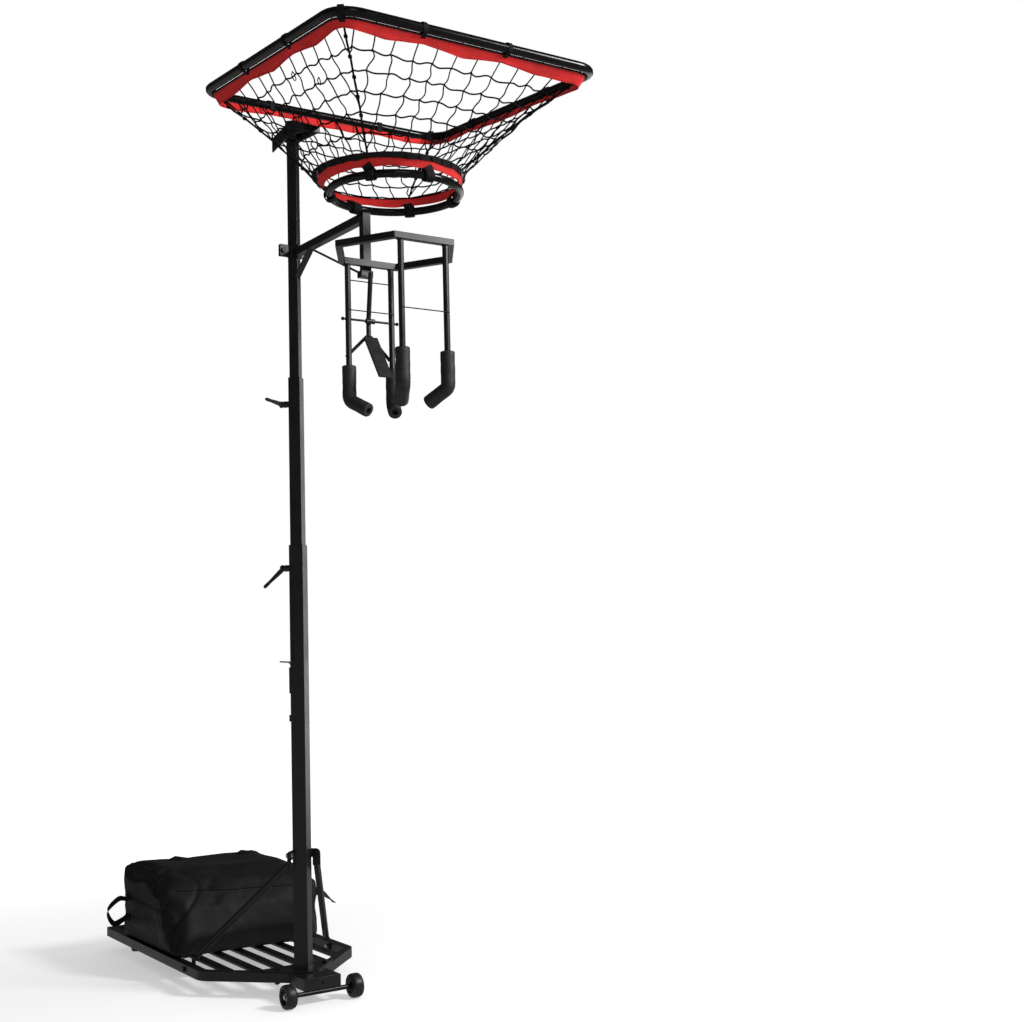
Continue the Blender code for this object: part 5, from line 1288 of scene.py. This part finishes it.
def makeBagSeams():
    bm = bmesh.new()
    down = (0, 0, -1)
    inwards = (0, 1, 0)
    left = -0.216
    right = 0.192
    # the lid's front seam runs round the front, and its back edge is piped
    for z, drop in ((0.236, 0.0), (0.229, 0.001)):
        line = seamLine([(-0.198, bag["front"], z + 0.010), (-0.06, bag["front"], z + 0.002),
                         (0.185, bag["front"], z - 0.002)], inwards, 26)
        if drop:
            addStitches(bm, line, 0.0055, 0.0006)
        else:
            sweep(bm, line, 0.0018, 7)
    for first, last in (((left, 0.500), (left, 0.785)), ((right, 0.372), (right + 0.004, 0.785)),
                        ((left, 0.785), (right, 0.785))):
        line = seamLine([(*first, 0.2), (*last, 0.2)], down, 26)
        sweep(bm, line, 0.0019, 7)
        addStitches(bm, [point + Vector((0, 0, 0.0018)) for point in line], 0.0060, 0.0006)
    # upright corner seams and the pocket seam on each end
    for x, y, way in ((-0.25, 0.785, (1, 0, 0)), (-0.25, 0.400, (1, 0, 0)), (0.25, 0.372, (-1, 0, 0)),
                      (0.25, 0.785, (-1, 0, 0))):
        line = seamLine([(x, y + (0.04 if x < 0 and y < 0.5 else 0), 0.215), (x, y, 0.085)], way, 18)
        sweep(bm, line, 0.0016, 7)
    for x, way in ((-0.25, (1, 0, 0)), (0.25, (-1, 0, 0))):
        for z in (0.196, 0.189):
            line = seamLine([(x, 0.430, z - 0.004), (x, 0.775, z + 0.004)], way, 30)
            addStitches(bm, line, 0.0055, 0.0007)
            if z > 0.19:
                sweep(bm, line, 0.0013, 7)
    piece = addPiece("bag_seams", bm, "blackWeb")
    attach(piece, "bag")


bagTabs = {"places": ((-0.092, 0.712), (0.122, 0.698)), "size": 0.029, "lift": 0.0040, "lean": 0.0045,
           "middle": 0.0046, "thick": 0.0030}


# diamond tabs on the lid, each with a stitched cross
def makeBagTabs():
    bm = bmesh.new()
    size = bagTabs["size"]
    above = Vector((0, 0, 0.0003))
    for x, y in bagTabs["places"]:
        corners = [onBag((x + size * math.cos(a), y + size * math.sin(a), 0.2), (0, 0, -1),
                         bagTabs["lift"] + bagTabs["lean"] * math.sin(a))
                   for a in (0, math.pi / 2, math.pi, 3 * math.pi / 2)]
        centre = onBag((x, y, 0.2), (0, 0, -1), bagTabs["middle"])
        top = [bm.verts.new(corner) for corner in corners]
        low = [bm.verts.new(corner - Vector((0, 0, bagTabs["thick"]))) for corner in corners]
        mid = bm.verts.new(centre)
        for step in range(4):
            after = (step + 1) % 4
            bm.faces.new((top[step], top[after], mid))
            bm.faces.new((top[step], low[step], low[after], top[after]))
        bm.faces.new(low)
        for step in range(4):
            pair = (corners[step], corners[(step + 1) % 4])
            addStitches(bm, [centre.lerp(corner, 0.80) + above for corner in pair], 0.0045, 0.0006)
        for first, second in ((0, 2), (1, 3)):
            addStitches(bm, [centre.lerp(corners[first], 0.75) + above, centre + Vector((0, 0, 0.0006)),
                             centre.lerp(corners[second], 0.75) + above], 0.0045, 0.0006)
    piece = addPiece("bag_tabs", bm, "blackWeb")
    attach(piece, "bag")


bagStraps = {
    "left": {"wall": -0.232, "side": -1, "y": 0.735, "z": 0.165, "reach": 0.062, "width": 0.027,
             "thick": 0.0024, "twist": 0.55, "loop": True},
    "right": {"wall": 0.208, "side": 1, "y": 0.420, "z": 0.215, "reach": 0.068, "width": 0.027,
              "thick": 0.0030, "twist": 1.3, "loop": False},
}


def makeBagStrap(name, node, strap):
    bm = bmesh.new()
    side = strap["side"]
    way = (-side, 0, 0)
    z = strap["z"]
    y = strap["y"]
    high, root, foot, low = [onBag((strap["wall"], y, z + rise), way, 0.0014)
                             for rise in (0.046, 0.026, -0.022, -0.040)]
    reach = strap["reach"]
    if strap["loop"]:
        path = smoothLine([high, root, root + Vector((side * reach * 0.45, 0.002, 0.002)),
                           root + Vector((side * reach * 0.98, 0.003, -0.030)),
                           foot + Vector((side * reach * 0.76, -0.002, -0.020)),
                           foot + Vector((side * reach * 0.28, -0.001, -0.012)), foot, low], 7)
    else:
        path = smoothLine([low, foot, foot + Vector((side * reach * 0.28, 0, 0.006)),
                           foot + Vector((side * reach * 0.62, -0.004, -0.010)),
                           foot + Vector((side * reach, -0.008, -0.034))], 7)
    ends = len(path) - 1
    across = []
    for index in range(len(path)):
        free = math.sin(math.pi * index / ends)
        across.append(Vector((-side * 0.45 * free, 1, strap["twist"] * free)))
    strip(bm, path, across, strap["width"], strap["thick"])
    piece = addPiece("strap_" + name, bm, "blackWeb")
    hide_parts(node)
    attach(piece, "bag")


makeBagSeams()
makeBagTabs()
makeBagStrap("left", "bag_handle_left", bagStraps["left"])
makeBagStrap("right", "bag_strap_right", bagStraps["right"])
print("the bag is filled")

# Weld beads and small fastenings

welds = {"bead": 0.0017, "mastY": 0.024, "plateTop": 0.0743, "mastHalf": 0.020}


# points round the outside of the turned square mast
def mastSquare(half, z, steps):
    corners = circle(0, welds["mastY"], z, half * math.sqrt(2), 4)
    return [a.lerp(b, step / steps) for a, b in zip(corners, corners[1:] + corners[:1])
            for step in range(steps)]


def makeWelds():
    bm = bmesh.new()
    foot = mastSquare(welds["mastHalf"] + 0.0012, welds["plateTop"] + 0.001, 8)
    weldBead(bm, foot, welds["bead"], 3, closed=True)
    piece = addPiece("base_welds", bm, "blackPaint")
    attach(piece, "base")
    head = bmesh.new()
    for x in (-0.011, 0.011):
        weldBead(head, [(x, -0.4107, z) for z in (1.9395, 1.932, 1.9245)], 0.0015, int(x * 1000) + 40)
    for x, seed in ((-0.011, 8), (0.011, 9)):
        weldBead(head, [(x, -0.3895, 2.0495), (x, -0.3885, 2.060), (x, -0.3895, 2.0705)], 0.0015, seed)
    for x in (-sleeve["x"], sleeve["x"]):
        for y in (sleeve["backY"], sleeve["frontY"]):
            weldBead(head, circle(x, y, 1.9225, 0.0082, 16), 0.0013, int(1000 * (x + y)) + 900, closed=True)
    for x in (-0.0125, 0.0125):
        weldBead(head, [(x, -0.404, 2.0715), (x, -0.398, 2.0712), (x, -0.392, 2.0715)], 0.0014, 20)
    piece = addPiece("head_welds", head, "blackPaint")
    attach(piece, "head")


# the screw end that shows in each clamp lever's hub
def makeLeverScrews():
    turnBy = Matrix.Translation((0, welds["mastY"], 0)) @ Matrix.Rotation(math.radians(135), 4, "Z")
    for name, body, height, out in (("lower", "clamp_lower", 1.167, 0.0515),
                                    ("upper", "clamp_upper", 1.630, 0.0485)):
        bm = bmesh.new()
        place = turnBy @ Matrix.Translation((out, 0, height)) @ Matrix.Rotation(math.pi / 2, 4, "Y")
        profile = [(0.0008, 0.0), (0.0030, 0.0), (0.0042, -0.0006), (0.0044, -0.0020), (0.0008, -0.0020)]
        turn(bm, profile, 20, place)
        piece = addPiece("hub_screw_" + name, bm, "zinc")
        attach(piece, body)


makeWelds()
makeLeverScrews()
print("the welds and screws are in")
